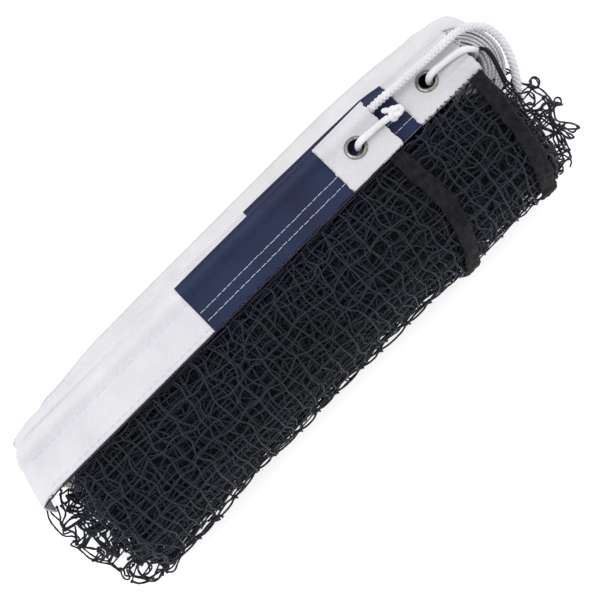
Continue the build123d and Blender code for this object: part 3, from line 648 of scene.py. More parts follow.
def lap_line():
    """The middle line of the laps' upper edge in plan."""
    pts = []
    # the outermost lap comes from the left-hand fold, in a small turn of its own
    start = spline([(-196.0, 34.0), (-200.0, 39.5), (-204.0, 44.5), (-205.0, 48.4), (-201.0, 51.0), (-190.0, 52.4), (-170.0, 54.2), (-150.0, 55.6), (-132.0, 56.9), (-118.0, TOP[0])], 2.4)
    pts += [tuple(q) for q in start[:-1]]
    for k in range(LAPS):
        left = -170.0 + 4.0 if k else -123.0
        right = 190.0 - 0.35 * k
        for x in np.arange(left + 5, right - 4, 7.0):
            pts.append((x, TOP[k]))
        r, m = (TOP[k] - LOW[k]) / 2, (TOP[k] + LOW[k]) / 2
        n = max(8, int(math.pi * r / 3.0))
        for a in np.linspace(math.pi / 2, -math.pi / 2, n + 1):
            pts.append((right + r * math.cos(a), m + r * math.sin(a)))
        for x in np.arange(right - 5, -170.0 + 4, -7.0):
            pts.append((x, LOW[k]))
        if k < LAPS - 1:
            r, m = (TOP[k + 1] - LOW[k]) / 2, (TOP[k + 1] + LOW[k]) / 2
            n = max(8, int(math.pi * r / 3.0))
            for a in np.linspace(-math.pi / 2, -3 * math.pi / 2, n + 1):
                pts.append((-170.0 + r * math.cos(a), m + r * math.sin(a)))
    return np.array(pts)


lap = lap_line()
step = np.linalg.norm(np.diff(lap, axis=0), axis=1)
lap = lap[np.concatenate([[True], step > 0.4])]
run_len = np.concatenate([[0], np.cumsum(np.linalg.norm(np.diff(lap, axis=0), axis=1))])
tan = np.gradient(lap, axis=0)
tan /= np.linalg.norm(tan, axis=1, keepdims=True)
side = np.stack([-tan[:, 1], tan[:, 0]], 1)      # outward at the top, since the line runs clockwise
wave_n, wave_z = Field(41, 45, 160), Field(42, 30, 120)
depth = np.linspace(0, 1, 9)
leaf = np.concatenate([depth[::-1], [-0.008, -0.012, -0.008], depth])
sign = np.concatenate([np.ones(9), [0.7, 0.0, -0.7], -np.ones(9)])
s_col = run_len[:, None]
bow = 0.6 * np.sin(math.pi * np.clip(leaf, 0, 1))[None, :] * wave_n(s_col * 0.5, 7.0)
zed = 0.9 * wave_z(s_col, 0.0) - 13.0 * (s_col < 60) * smooth(-184, -203, lap[:, 0:1])
ends = smooth(150, 206, lap[:, 0:1])
left_ends = smooth(-150, -200, lap[:, 0:1])
d = np.clip(leaf, -0.02, 1)[None, :]
grids = []
for off in (0.98, 0.40):
    nrm = np.broadcast_to((sign * off)[None, :], bow.shape) + 0.28 * wave_n(s_col, 0.0) + bow * 0.35
    first = (s_col < 60) * smooth(-184, -203, lap[:, 0:1])
    x = lap[:, 0:1] + side[:, 0:1] * nrm + (7.5 * smooth(198, 214, lap[:, 0:1]) - 5.0 * ends + 3.0 * left_ends - 9.0 * first) * d
    out = 2.3 * smooth(-185, -70, lap[:, 0:1]) * smooth(165, 90, lap[:, 0:1]) * smooth(20, 50, lap[:, 1:2])
    y = lap[:, 1:2] + side[:, 1:2] * nrm + (LEAN * (1 - 0.22 * smooth(140, 188, lap[:, 0:1]) * smooth(214, 200, lap[:, 0:1])) + out) * d
    z = TOP_Z + zed * (1 - 0.35 * d) - (TOP_Z - LOW_Z) * d
    grids.append(np.stack([x, y, z], -1))
width_uv = 41.0 * np.concatenate([1 - depth[::-1], [1.01, 1.02, 1.03], 1.04 + depth])
uv = np.stack([np.broadcast_to(s_col, bow.shape), np.broadcast_to(width_uv[None, :], bow.shape)], -1)
b = Build()
b.shell(grids[0], grids[1], uv)
laps = b.object("head_tape_coil", LAP_TAPE, fix_normals=True)
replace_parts(laps, "head_tape_laps")


# ------------------------------------------------------------ cords
def route_curve(name, points, diameter):
    c = bpy.data.curves.new(name, "CURVE")
    c.dimensions = "3D"
    s = c.splines.new("NURBS")
    s.points.add(len(points) - 1)
    for q, p in zip(s.points, points):
        q.co = (p[0] * MM, p[1] * MM, p[2] * MM, 1.0)
    s.order_u = 3
    s.use_endpoint_u = True
    s.resolution_u = 24
    o = bpy.data.objects.new(name, c)
    scene.collection.objects.link(o)
    return o


def route_points(name, points):
    """The points that the route's own smooth spline follows, in mm."""
    o = route_curve(name, points, 0)
    bpy.context.view_layer.update()
    me = bpy.data.meshes.new_from_object(o)
    p = np.array([v.co for v in me.vertices], float) / MM
    bpy.data.objects.remove(o)
    keep = np.concatenate([[True], np.linalg.norm(np.diff(p, axis=0), axis=1) > 1e-4])
    return p[keep]


def resample(p, spacing):
    s = np.concatenate([[0], np.cumsum(np.linalg.norm(np.diff(p, axis=0), axis=1))])
    n = max(2, int(round(s[-1] / spacing)))
    t = np.linspace(0, s[-1], n + 1)
    return np.stack([np.interp(t, s, p[:, i]) for i in range(3)], 1), t


def frames(p):
    t = np.gradient(p, axis=0)
    t /= np.linalg.norm(t, axis=1, keepdims=True)
    cur = np.array([0.0, 0.0, 1.0]) if abs(t[0, 2]) < 0.8 else np.array([1.0, 0.0, 0.0])
    n = np.empty_like(p)
    for i in range(len(p)):
        cur = cur - (cur @ t[i]) * t[i]
        cur /= np.linalg.norm(cur)
        n[i] = cur
    return t, n, np.cross(t, n)


def cord_surface(b, path, radius_of, around, spacing, cap_at=None):
    """A tube whose radius is radius_of(angle, length)."""
    p, s = resample(path, spacing)
    t, n, w = frames(p)
    ang = 2 * math.pi * np.arange(around) / around
    r = radius_of(ang[None, :], s[:, None])
    ring = p[:, None] + r[..., None] * (np.cos(ang)[None, :, None] * n[:, None] + np.sin(ang)[None, :, None] * w[:, None])
    m = len(p)
    idx = np.arange(m * around).reshape(m, around)
    nxt = np.roll(idx, -1, 1)
    quads = np.stack([idx[:-1], nxt[:-1], nxt[1:], idx[1:]], -1).reshape(-1, 4)
    u0 = np.broadcast_to((np.arange(around) / around)[None], (m - 1, around))
    v0, v1 = (np.broadcast_to(q[:, None], (m - 1, around)) for q in (s[:-1], s[1:]))
    uv = np.stack([np.stack([u0, v0], -1), np.stack([u0 + 1 / around, v0], -1), np.stack([u0 + 1 / around, v1], -1), np.stack([u0, v1], -1)], -2)
    verts = np.vstack([ring.reshape(-1, 3), p[:1], p[-1:]])
    tris = np.vstack([np.stack([np.full(around, m * around), nxt[0], idx[0]], -1),
                      np.stack([np.full(around, m * around + 1), idx[-1], nxt[-1]], -1)])
    b.add(verts, quads, tris, uv)
    return float(s[-1]), p


def braid(radius, carriers, pitch, height):
    """Relief of a tubular braid: each yarn passes over and under those of the other hand."""
    def r(ang, s):
        u = carriers * ang / (2 * math.pi) + s / pitch
        w = carriers * ang / (2 * math.pi) - s / pitch
        over = (np.floor(u) + np.floor(w)) % 2 < 0.5
        fu, fw = np.abs(u - np.floor(u) - 0.5) * 2, np.abs(w - np.floor(w) - 0.5) * 2
        a, c = np.where(over, fu, fw), np.where(over, fw, fu)
        return radius - height + height * 1.35 * np.clip(1 - a ** 2.4, 0, 1) * (1 - 0.75 * c ** 2)
    return r


def soft_cord(radius, seed):
    f = Field(seed, 4, 18)
    return lambda ang, s: radius * (1 + 0.05 * np.cos(2 * ang + 0.25 * s) + 0.035 * f(s, ang * 1.5 * np.ones_like(s))) + 0.05 * np.sin(8 * ang + s * 2.2) * np.sin(8 * ang - s * 2.2)


TAIL = [BAND_1.pt(125.0, CORD_AT, 0), BAND_1.pt(134.5, CORD_AT, 0), (149.0, 50.0, 73.0),
        (165.0, 49.6, 74.2), (180.5, 48.4, 73.2), (194.0, 48.2, 71.9), (206.0, 47.4, 68.6),
        (216.6, 42.6, 64.6), (222.6, 33.6, 62.2), (223.2, 21.6, 60.6), (219.4, 9.4, 58.4),
        (213.6, -1.6, 54.8), (207.8, -10.2, 49.4), (204.6, -15.2, 41.8)]
path = route_points("tail_route", TAIL)
b = Build()
length, line = cord_surface(b, path, braid(2.9, 4, 3.3, 0.75), 40, 0.32)
tail = b.object("head_cord_free_end", TAIL_CORD)
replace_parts(tail, "head_cord_tail")

TIE_1 = [BAND_1.pt(102.4, 20.5, -3.2), BAND_1.pt(102.7, 20.5, 3.0), BAND_1.pt(106.9, 20.3, 5.9),
         BAND_1.pt(115.2, 19.8, 5.4), BAND_1.pt(123.4, 19.2, 4.8), BAND_1.pt(130.0, 18.4, 4.1)]
path = route_points("tie_1_route", TIE_1)
b = Build()
cord_surface(b, path, soft_cord(2.3, 51), 28, 0.5)
tie_1 = b.object("tie_cord_smooth_1", TIE_CORD)
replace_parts(tie_1, "tie_cord_1")

# the knot: the cord's own overhand knot, drawn tight, and the short end that comes out of it
axis = np.array(TIE_1[-1]) - np.array(TIE_1[-2])
axis /= np.linalg.norm(axis)
up = BAND_1.w - (BAND_1.w @ axis) * axis
up /= np.linalg.norm(up)
across = np.cross(axis, up)
centre = np.array(TIE_1[-1]) + axis * 5.0
t = np.linspace(0, 2 * math.pi, 15)[:-1]
loop = np.stack([np.sin(t) + 2 * np.sin(2 * t), np.cos(t) - 2 * np.cos(2 * t), -np.sin(3 * t)], 1) * np.array([1.25, 1.12, 1.5])
loop = centre + loop[:, :1] * axis + loop[:, 1:2] * across + loop[:, 2:] * up
b = Build()
ring = spline(loop, 0.7, closed=True)
ring = np.vstack([ring, ring[:3]])
cord_surface(b, ring, soft_cord(2.05, 52), 20, 0.6)
lobe = spline([centre - across * 1.0 + up * 0.6, centre + axis * 2.6 - across * 1.7 + up * 1.3, centre + axis * 4.9 - across * 0.9 + up * 1.2,
               centre + axis * 4.7 + across * 0.9 + up * 0.6, centre + axis * 1.5 + across * 0.9 - up * 0.6], 0.7)
cord_surface(b, lobe, soft_cord(2.2, 53), 20, 0.6)
stub = spline([centre - across * 0.5, centre - axis * 2.2 - across * 3.6 + up * 0.9, centre - axis * 4.2 - across * 5.4 + up * 0.5, centre - axis * 5.6 - across * 6.6 - up * 0.4], 0.7)
cord_surface(b, stub, lambda ang, s: braid(2.0, 5, 2.2, 0.45)(ang, s) * (0.55 + 0.45 * smooth(9.0, 6.6, s)), 32, 0.35)
knot = b.object("tie_cord_knot", TIE_CORD)
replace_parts(knot, "tie_cord_1_knot")

TIE_2 = [BAND_2.pt(167.4, 19.9, -3.2), BAND_2.pt(167.7, 19.8, 3.0), BAND_2.pt(171.9, 19.7, 6.2),
         BAND_2.pt(180.2, 19.3, 5.7), BAND_2.pt(188.8, 18.5, 5.2), BAND_2.pt(197.8, 16.6, 5.4),
         (204.0, 31.2, 68.6), (205.2, 29.4, 60.2), (203.6, 28.3, 52.4)]
path = route_points("tie_2_route", TIE_2)
b = Build()
cord_surface(b, path, soft_cord(2.3, 54), 28, 0.5)
tie_2 = b.object("tie_cord_smooth_2", TIE_CORD)
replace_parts(tie_2, "tie_cord_2")


# ------------------------------------------------------------ netting
class Skin:
    """A section curve in Y, Z. A point is a along it and h outside it."""

    def __init__(self, points):
        p = spline(points, 1.0)
        self.s = np.concatenate([[0], np.cumsum(np.linalg.norm(np.diff(p, axis=0), axis=1))])
        t = np.gradient(p, axis=0)
        n = np.stack([-t[:, 1], t[:, 0]], 1)
        k = np.hanning(13)[:, None]
        n = np.stack([np.convolve(np.pad(n[:, i], 6, mode="edge"), k[:, 0] / k.sum(), "valid") for i in range(2)], 1)
        self.p, self.n, self.length = p, n / np.linalg.norm(n, axis=1, keepdims=True), float(self.s[-1])

    def at(self, x, a, h):
        a = np.clip(a, 0, self.length)
        y, z = (np.interp(a, self.s, self.p[:, i]) for i in range(2))
        ny, nz = (np.interp(a, self.s, self.n[:, i]) for i in range(2))
        return settle(np.stack([x, y + ny * h, z + nz * h], -1))


def settle(p, floor=0.75):
    """The roll's far side is slacker in its middle, and nothing goes under the ground."""
    p = np.array(p, float)
    slack = 4.6 * smooth(-190, -150, p[..., 0]) * smooth(98, 58, p[..., 0]) * smooth(-34, -70, p[..., 1])
    p[..., 1] += slack
    p[..., 2] = np.maximum(p[..., 2], floor)
    return p


ROLL = Skin([(17.0, 78.6), (10.0, 81.6), (0.0, 85.0), (-24.0, 87.2), (-47.0, 81.5), (-63.0, 65.0), (-71.0, 42.0), (-68.0, 15.0),
             (-56.0, 1.6), (-40.0, 0.9), (-20.0, 0.8), (4.0, 0.8), (10.5, 5.0), (11.2, 16.0)])
if ROLL.n[len(ROLL.n) // 5][1] < 0:
    ROLL.n = -ROLL.n
FOOT = Skin([(58.0, 19.0), (65.0, 17.2), (69.6, 9.5), (64.5, 1.4), (50.0, 0.8), (34.0, 0.8), (20.0, 0.9), (15.0, 5.0)])
if FOOT.n[len(FOOT.n) // 4][0] < 0:
    FOOT.n = -FOOT.n


def net_layer(name, skin, x0, x1, h, seed, cell=17.6, radius=0.59, drift=3.4, jitter=1.3, slack=1.5, rise=0.7, sub=6, sides=6,
              knots=True, end_tuck=5.0, skew=0.0):
    r = np.random.default_rng(SEED + seed)
    f1, f2, f3 = Field(seed * 3 + 100, 60, 190), Field(seed * 3 + 101, 60, 190), Field(seed * 3 + 102, 22, 80)
    px, pa = (seed * 0.381 + r.uniform(-0.06, 0.06)) % 1, (seed * 0.618 + r.uniform(-0.06, 0.06)) % 1
    ni, nj = int((x1 - x0) / cell) + 3, int(skin.length / cell) + 3
    gx = x0 + (np.arange(ni)[:, None] - px - 0.5) * cell + np.zeros((1, nj))
    ga = (np.arange(nj)[None, :] - pa - 0.5) * cell + np.zeros((ni, 1))
    wx = gx + drift * f1(gx, ga) + r.normal(0, jitter, gx.shape) + skew * (ga - skin.length / 2)
    wa = ga + drift * f2(gx, ga) + r.normal(0, jitter, gx.shape)
    wh = h + rise * f3(gx, ga) + r.normal(0, 0.25, gx.shape)

    def strands(nx, na, nh, along):
        """Lines through rows of nodes, each bar bent its own way between its two knots."""
        k, n = nx.shape
        ctrl = np.zeros((k, 2 * n - 1, 3))
        ctrl[:, 0::2, 0], ctrl[:, 0::2, 1], ctrl[:, 0::2, 2] = nx, na, nh
        mid = (ctrl[:, 0:-1:2] + ctrl[:, 2::2]) / 2
        bend = r.normal(0, slack, mid.shape[:2])
        mid[..., 1 if along == 0 else 0] += bend
        mid[..., along] += r.normal(0, 0.9, mid.shape[:2])
        mid[..., 2] += np.abs(r.normal(0, 0.7, mid.shape[:2]))
        ctrl[:, 1::2] = mid
        return lattice_lines(ctrl, sub)

    b = Build()
    kinds = [strands(wx.T, wa.T, wh.T, 0), strands(wx, wa, wh + 0.35, 1)]
    for q in kinds:
        x, a, hh = q[..., 0], q[..., 1], q[..., 2]
        over = np.clip(np.maximum(x0 - x, x - x1), 0, None)
        hh = hh - end_tuck * smooth(-12, 3, np.maximum(x0 - x, x - x1)) - 0.8 * over
        x = np.clip(x, x0 - 3.0 - r.uniform(0, 3), x1 + 3.0 + r.uniform(0, 3))
        p = skin.at(x, a, hh)
        inside = (q[..., 0] > x0 - 14) & (q[..., 0] < x1 + 14) & (a > -1.0) & (a < skin.length + 1.0)
        for k in range(len(p)):
            ok = np.nonzero(inside[k])[0]
            if len(ok) > 8:
                line = p[k, ok[0]:ok[-1] + 1]
                step = np.linalg.norm(np.diff(line, axis=0), axis=1)
                line = line[np.concatenate([[True], step > 0.25])]
                if len(line) > 6:
                    thick = radius * (1 + 0.12 * np.sin(np.arange(len(line)) * 0.9 + k))
                    b.tubes(line, thick[None], sides)
    if knots:
        ok = (wx > x0) & (wx < x1) & (wa > 1) & (wa < skin.length - 1)
        c = skin.at(wx[ok], wa[ok], wh[ok] + 0.15 - end_tuck * smooth(-12, 3, np.maximum(x0 - wx[ok], wx[ok] - x1)))
        b.blobs(c, r.uniform(1.0, 1.35, len(c)), seed)
    return b.object(name, TWINE)


def extruded_core(name, section, middle, x0, x1, cap, shrink, seed, lump=1.0):
    """The dense inside of the folded netting: a closed body with lumpy sides and drawn-in ends."""
    p = spline(section, 3.5, closed=True)
    f = Field(seed, 14, 40)
    run = np.linspace(0, 260, len(p))
    xs = np.concatenate([[x0], x0 + cap * np.array([0.25, 0.55, 1.0]), np.arange(x0 + cap + 6, x1 - cap - 3, 6.0), x1 - cap * np.array([1.0, 0.55, 0.25]), [x1]])
    rings = []
    for x in xs:
        edge = min(x - x0, x1 - x) / cap
        k = 1 - (1 - shrink) * (1 - min(1.0, math.sqrt(max(edge, 0.0)))) if edge < 1 else 1.0
        q = middle + (p - middle) * k
        d = q - middle
        q = q + d / np.linalg.norm(d, axis=1, keepdims=True) * (lump * f(x, run))[:, None]
        rings.append(settle(np.column_stack([np.full(len(q), x) + 1.2 * f(run, 300 + x * 0.1) * (edge < 1), q]), 0.8))
    v = np.array(rings)
    m, n, _ = v.shape
    idx = np.arange(m * n).reshape(m, n)
    nxt = np.roll(idx, -1, 1)
    quads = np.stack([idx[:-1], nxt[:-1], nxt[1:], idx[1:]], -1).reshape(-1, 4)
    verts = np.vstack([v.reshape(-1, 3), v[0].mean(0), v[-1].mean(0)])
    tris = np.vstack([np.stack([np.full(n, m * n), nxt[0], idx[0]], -1), np.stack([np.full(n, m * n + 1), idx[-1], nxt[-1]], -1)])
    b = Build()
    b.add(verts, quads, tris)
    return b.object(name, CORE, fix_normals=True)


ROLL_SECTION = np.array([(16.0, 79.4), (0.0, 84.2), (-24.0, 86.6), (-47.0, 81.5), (-63.0, 65.0), (-71.0, 42.0), (-68.0, 15.0), (-56.0, 2.0), (-30.0, 1.0),
                         (5.0, 1.5), (10.0, 7.0), (8.5, 20.0), (-2.5, 50.0), (2.0, 60.0), (20.0, 66.0)])
MID = np.array([-28.0, 43.0])
core = extruded_core("netting_roll_inside", MID + (ROLL_SECTION - MID) * 0.85, MID, -184.0, 187.0, 12.0, 0.7, 61, 0.9)
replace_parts(core, "netting_roll")
FOLD_SECTION = np.array([(16.0, 55.0), (41.0, 55.0), (55.0, 19.5), (63.5, 15.5), (66.0, 9.0), (61.0, 2.0), (22.0, 2.0), (16.0, 6.0), (16.0, 16.0), (30.5, 20.5)])
inner_core = extruded_core("netting_fold_inside", FOLD_SECTION, np.array([40.0, 18.0]), -176.0, 178.0, 8.0, 0.8, 62, 0.5)
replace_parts(inner_core, "netting_inner_folds")

LAYERS = [(0.3, 1, 1.7), (-1.3, 2, 1.9), (-2.7, 3, 2.2), (-4.0, 4, 2.2), (-5.2, 5, 2.2), (-6.3, 6, 2.2)]
for h, seed, slack in LAYERS:
    net_layer(f"netting_layer_{seed}", ROLL, -189.0, 191.0, h, seed, slack=slack, skew=(-0.03, 0.02, 0.0, 0.04, -0.02, 0.03)[seed - 1], knots=seed < 4)
net_layer("netting_foot_1", FOOT, -176.0, 178.0, 0.0, 7, cell=16.5, knots=True)
net_layer("netting_foot_2", FOOT, -176.0, 178.0, -1.6, 8, cell=16.5, knots=False)


# ------------------------------------------------------------ the netting's turned-back edges at each end
LEFT = [
    [(-214.8, 15.5), (-218.4, 9.9), (-219.7, 1.9), (-219.1, -5.4), (-215.1, -9.3), (-215.4, -13.0), (-220.4, -12.0), (-218.4, -17.9), (-217.7, -27.9), (-214.4, -35.1), (-211.5, -38.8)],
    [(-209.1, 11.9), (-211.8, 5.9), (-215.1, 2.6), (-215.8, -2.0), (-213.1, -7.3), (-214.8, -12.3), (-217.4, -14.9)],
    [(-215.4, -0.4), (-208.5, -0.1), (-203.2, -2.7), (-198.6, -3.4)],
    [(-216.4, -2.0), (-208.5, -4.0), (-200.5, -5.4)],
    [(-207.2, -12.0), (-211.1, -15.9), (-215.4, -17.6), (-217.7, -17.3)],
    [(-217.1, -17.9), (-212.5, -22.6), (-209.8, -27.9), (-209.8, -31.2), (-213.1, -31.2), (-217.1, -29.8)],
    [(-215.1, -17.3), (-207.2, -17.3), (-203.9, -19.2)],
    [(-213.8, -34.5), (-210.5, -32.5), (-210.5, -28.5)],
    [(-211.1, -39.1), (-206.5, -37.8), (-203.9, -32.5), (-199.2, -23.9)],
    [(-210.8, -39.4), (-209.8, -46.4), (-209.1, -48.4), (-203.9, -48.4), (-199.2, -49.0)],
    [(-208.2, -47.4), (-210.5, -51.0), (-210.5, -55.0), (-208.2, -56.0), (-205.8, -51.0), (-203.5, -48.7), (-199.9, -48.4), (-197.6, -51.3)],
    [(-203.2, -50.4), (-205.5, -53.3), (-205.2, -57.6), (-202.5, -61.6), (-200.2, -65.2), (-195.2, -66.2), (-190.6, -66.9), (-187.3, -68.9)],
    [(-208.5, -58.3), (-206.2, -62.6), (-202.5, -65.6), (-200.5, -66.2), (-197.2, -69.5), (-190.6, -69.5)],
    [(-197.6, -53.3), (-200.9, -56.6), (-201.2, -60.3), (-201.2, -65.6)],
    [(-195.9, -53.7), (-192.6, -55.6), (-193.6, -59.9), (-196.6, -62.3), (-200.5, -60.9)],
    [(-187.6, -69.2), (-182.7, -70.9), (-177.4, -69.5), (-172.7, -67.6), (-166.1, -67.6), (-156.9, -67.6), (-151.6, -68.9), (-142.3, -68.9)],
    [(-186.6, -69.5), (-183.3, -67.6), (-182.7, -65.6)],
    [(-172.1, -62.9), (-165.5, -65.6), (-157.5, -65.6)],
    [(-143.6, -66.2), (-139.0, -68.2), (-137.8, -70.7)],
    [(-205.8, -19.9), (-206.5, -24.5), (-206.5, -29.8), (-205.8, -33.1)],
    [(-194.6, -28.5), (-197.2, -32.5), (-201.2, -35.1), (-203.2, -38.4)],
    [(-191.3, -31.8), (-195.2, -38.4), (-197.2, -41.7)],
    [(-201.2, 16.5), (-204.2, 12.8), (-206.5, 7.2), (-205.2, 3.3)],
    [(-203.9, -0.7), (-202.5, -7.3), (-205.2, -10.0), (-204.5, -14.6), (-200.5, -18.6)],
    [(-205.5, -7.0), (-207.2, -9.3), (-205.8, -13.3)],
    [(-199.2, 12.6), (-201.2, 8.0), (-205.8, 6.0), (-203.2, 2.0), (-199.9, -1.3), (-195.3, -2.0), (-197.3, -6.6), (-202.6, -6.6), (-206.5, -5.2), (-207.9, -9.2), (-205.2, -14.5), (-200.6, -17.8)],
    [(-190.6, 2.7), (-192.6, -3.3), (-197.3, -6.6), (-197.3, -11.9), (-193.3, -13.2), (-195.3, -17.8), (-199.3, -19.2)],
    [(-198.6, -2.6), (-199.9, -10.6), (-197.3, -14.5), (-192.7, -15.2), (-193.3, -10.6), (-198.6, -7.9)],
    [(-207.2, -7.2), (-202.6, -9.2), (-199.9, -14.5), (-202.0, -19.1), (-205.3, -17.2)],
    [(-206.6, -15.8), (-205.3, -22.4), (-206.0, -28.4), (-206.6, -33.0)],
    [(-201.3, -21.1), (-201.3, -26.4), (-204.0, -31.7), (-209.3, -34.3)],
    [(-196.0, -26.4), (-197.4, -31.7), (-203.0, -38.0), (-204.0, -40.3), (-201.3, -34.4), (-198.7, -29.1)],
    [(-191.4, -29.8), (-192.1, -35.7), (-194.8, -42.3), (-195.4, -47.0), (-200.1, -46.3)],
    [(-197.4, -37.0), (-196.7, -43.0), (-194.8, -49.0), (-192.8, -54.9)],
    [(-203.8, 9.3), (-197.2, 9.3), (-195.9, 5.3), (-191.3, 4.6), (-188.0, 1.3)],
    [(-203.9, 5.3), (-197.2, 4.0), (-195.9, 0.0), (-192.0, -1.3), (-191.3, -7.3), (-191.3, -13.9)],
    [(-204.5, -0.6), (-199.9, -3.9), (-194.0, -5.9), (-190.7, -10.6), (-192.7, -17.9)],
    [(-191.9, 14.6), (-196.5, 13.9), (-198.5, 10.6), (-197.9, 6.0), (-193.9, 4.6), (-189.3, 6.6)],
    [(-189.3, 14.6), (-191.3, 9.9), (-195.9, 8.0), (-197.2, 2.7), (-192.6, 0.7)],
    [(-194.6, 13.3), (-193.2, 9.3), (-190.6, 5.3), (-190.6, 0.0)],
    [(-197.9, 11.3), (-194.6, 8.0), (-194.6, 2.7), (-199.2, 0.7), (-201.2, 4.0)],
    [(-189.5, -46.3), (-190.2, -52.3), (-189.5, -58.2), (-184.9, -60.2), (-183.6, -65.5), (-187.6, -68.2)],
    [(-186.8, -51.6), (-187.5, -57.6), (-186.9, -64.9), (-181.6, -66.2), (-175.6, -65.6)],
]
RIGHT = [
    [(208.1, -3.2), (209.3, 0.5), (211.4, 3.3), (214.2, 2.1), (213.4, -1.2), (210.6, -2.4), (206.9, -2.0)],
    [(205.3, -3.6), (208.9, -6.4), (212.6, -10.9), (215.0, -11.7), (216.6, -9.3), (219.5, -10.5), (219.9, -14.2), (216.6, -16.6), (213.8, -14.6), (214.2, -11.7)],
    [(214.2, -14.2), (216.2, -18.6), (216.6, -24.7), (215.8, -30.4), (215.8, -32.0), (218.7, -30.0), (221.1, -31.6), (220.3, -34.9), (217.5, -35.3), (215.0, -32.8), (211.8, -36.1), (209.3, -40.1), (209.7, -43.0), (214.6, -49.5), (216.6, -53.9), (216.2, -56.0), (211.8, -52.3), (208.1, -47.9)],
    [(202.4, -9.7), (206.1, -12.5), (209.3, -14.2), (210.6, -17.8), (208.5, -21.5), (205.3, -23.1)],
    [(208.5, -28.0), (212.6, -28.8), (215.0, -31.2)],
    [(208.5, -44.2), (207.7, -49.9), (209.3, -54.8), (209.3, -58.0), (206.9, -55.6), (205.3, -52.3), (205.3, -47.5)],
    [(199.6, -59.6), (200.4, -62.1), (198.0, -64.5), (193.1, -64.5), (189.8, -64.5)],
    [(214.2, -33.6), (210.1, -34.5), (206.9, -31.2), (202.0, -32.8)],
    [(200.4, -23.1), (203.6, -26.3), (207.7, -28.8), (208.5, -34.5), (207.7, -40.1)],
    [(202.8, -28.8), (205.3, -34.5), (206.1, -41.8), (207.7, -46.6)],
    [(206.9, -37.7), (205.3, -44.2), (205.3, -50.7), (202.8, -56.4), (201.2, -61.3)],
    [(202.8, -12.5), (202.0, -18.2), (202.0, -24.7), (199.6, -32.0), (199.6, -38.5)],
    [(199.6, -38.5), (202.0, -44.2), (201.2, -49.9), (198.0, -54.8), (195.5, -60.4)],
    [(189.8, -62.9), (188.6, -65.7), (187.4, -63.7)],
    [(165.5, -64.5), (163.0, -68.6), (159.8, -66.9), (163.0, -70.2)],
    [(206.9, 7.8), (210.1, 6.2), (210.6, 2.5)],
    [(205.7, 10.6), (204.5, 5.3), (204.5, -1.2), (203.6, -6.8)],
    [(202.0, 11.0), (202.0, 2.9), (202.0, -5.2), (202.0, -11.7), (198.8, -21.5)],
    [(215.0, -24.7), (212.6, -32.0), (208.1, -37.3), (206.1, -43.4), (203.6, -50.7), (202.0, -57.2)],
]


def section_ring(scale, middle=(-28.0, 43.0)):
    m = np.array(middle)
    return spline(m + (ROLL_SECTION - m) * scale, 4.0, closed=True)


def soften(line, width=7):
    """Rounds the line's corners, with its ends held."""
    k = np.hanning(width + 2)[1:-1]
    k /= k.sum()
    pad = np.vstack([np.repeat(line[:1], width // 2, 0), line, np.repeat(line[-1:], width // 2, 0)])
    out = np.stack([np.convolve(pad[:, i], k, "valid") for i in range(3)], 1)
    out[0], out[-1] = line[0], line[-1]
    return out


EYE = np.array([3.3, -5.0, 1181.7])


def fringe(name, shapes, sign, seed, z_low, z_high, inward, copies):
    """Loose twine at one end: the loops that stand out, the turned-back layers behind them and the bars between."""
    r = np.random.default_rng(SEED + seed)
    b = Build()
    ends = []
    heights = (Field(seed * 7, 14, 40), Field(seed * 7 + 1, 10, 30))
    for shape in shapes:
        p = np.array(shape)
        for c in range(copies):
            q = p + r.normal(0, 0.05 + 1.3 * c, p.shape)
            top = z_high - 5.0 - 17.0 * c - 0.42 * np.clip(-q[:, 1] - 30.0, 0, None)
            z = np.clip(top + (6.0 + 3.0 * c) * heights[c](q[:, 0], q[:, 1]), z_low, z_high + 3)
            q[:, 0] -= sign * 1.2 * c
            q = EYE[:2] + (q - EYE[:2]) * ((EYE[2] - z) / (EYE[2] - 70.0))[:, None]
            line = soften(spline(np.column_stack([q, z]), 0.8))
            b.tubes(line, 0.68 * (1 + 0.1 * np.sin(np.arange(len(line)) * 0.7))[None], 6)
            ends += [line[0], line[-1]]
            for k in (0, -1):      # back into the roll, out of sight
                a = line[k]
                tip = np.array([sign * inward, a[1] * 0.9, a[2] - 3.0])
                if abs(a[0]) > inward + 3 and (abs(a[0]) < inward + 20 or c == 1) and not (sign < 0 and a[1] > -12 and c == 1):
                    mid = (a + tip) / 2 + r.normal(0, 2.4, 3)
                    bar = spline([a, mid, tip], 1.2)
                    b.tubes(bar, 0.64, 6)
    b.blobs(np.array(ends), r.uniform(0.95, 1.35, len(ends)), seed)
    return b.object(name, TWINE)


left = fringe("netting_loops_left", LEFT, -1, 71, 14.0, 56.0, 186.0, 2)
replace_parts(left, "netting_left_loops")
right = fringe("netting_loops_right", RIGHT, 1, 72, 16.0, 58.0, 190.0, 2)
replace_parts(right, "netting_right_loops")


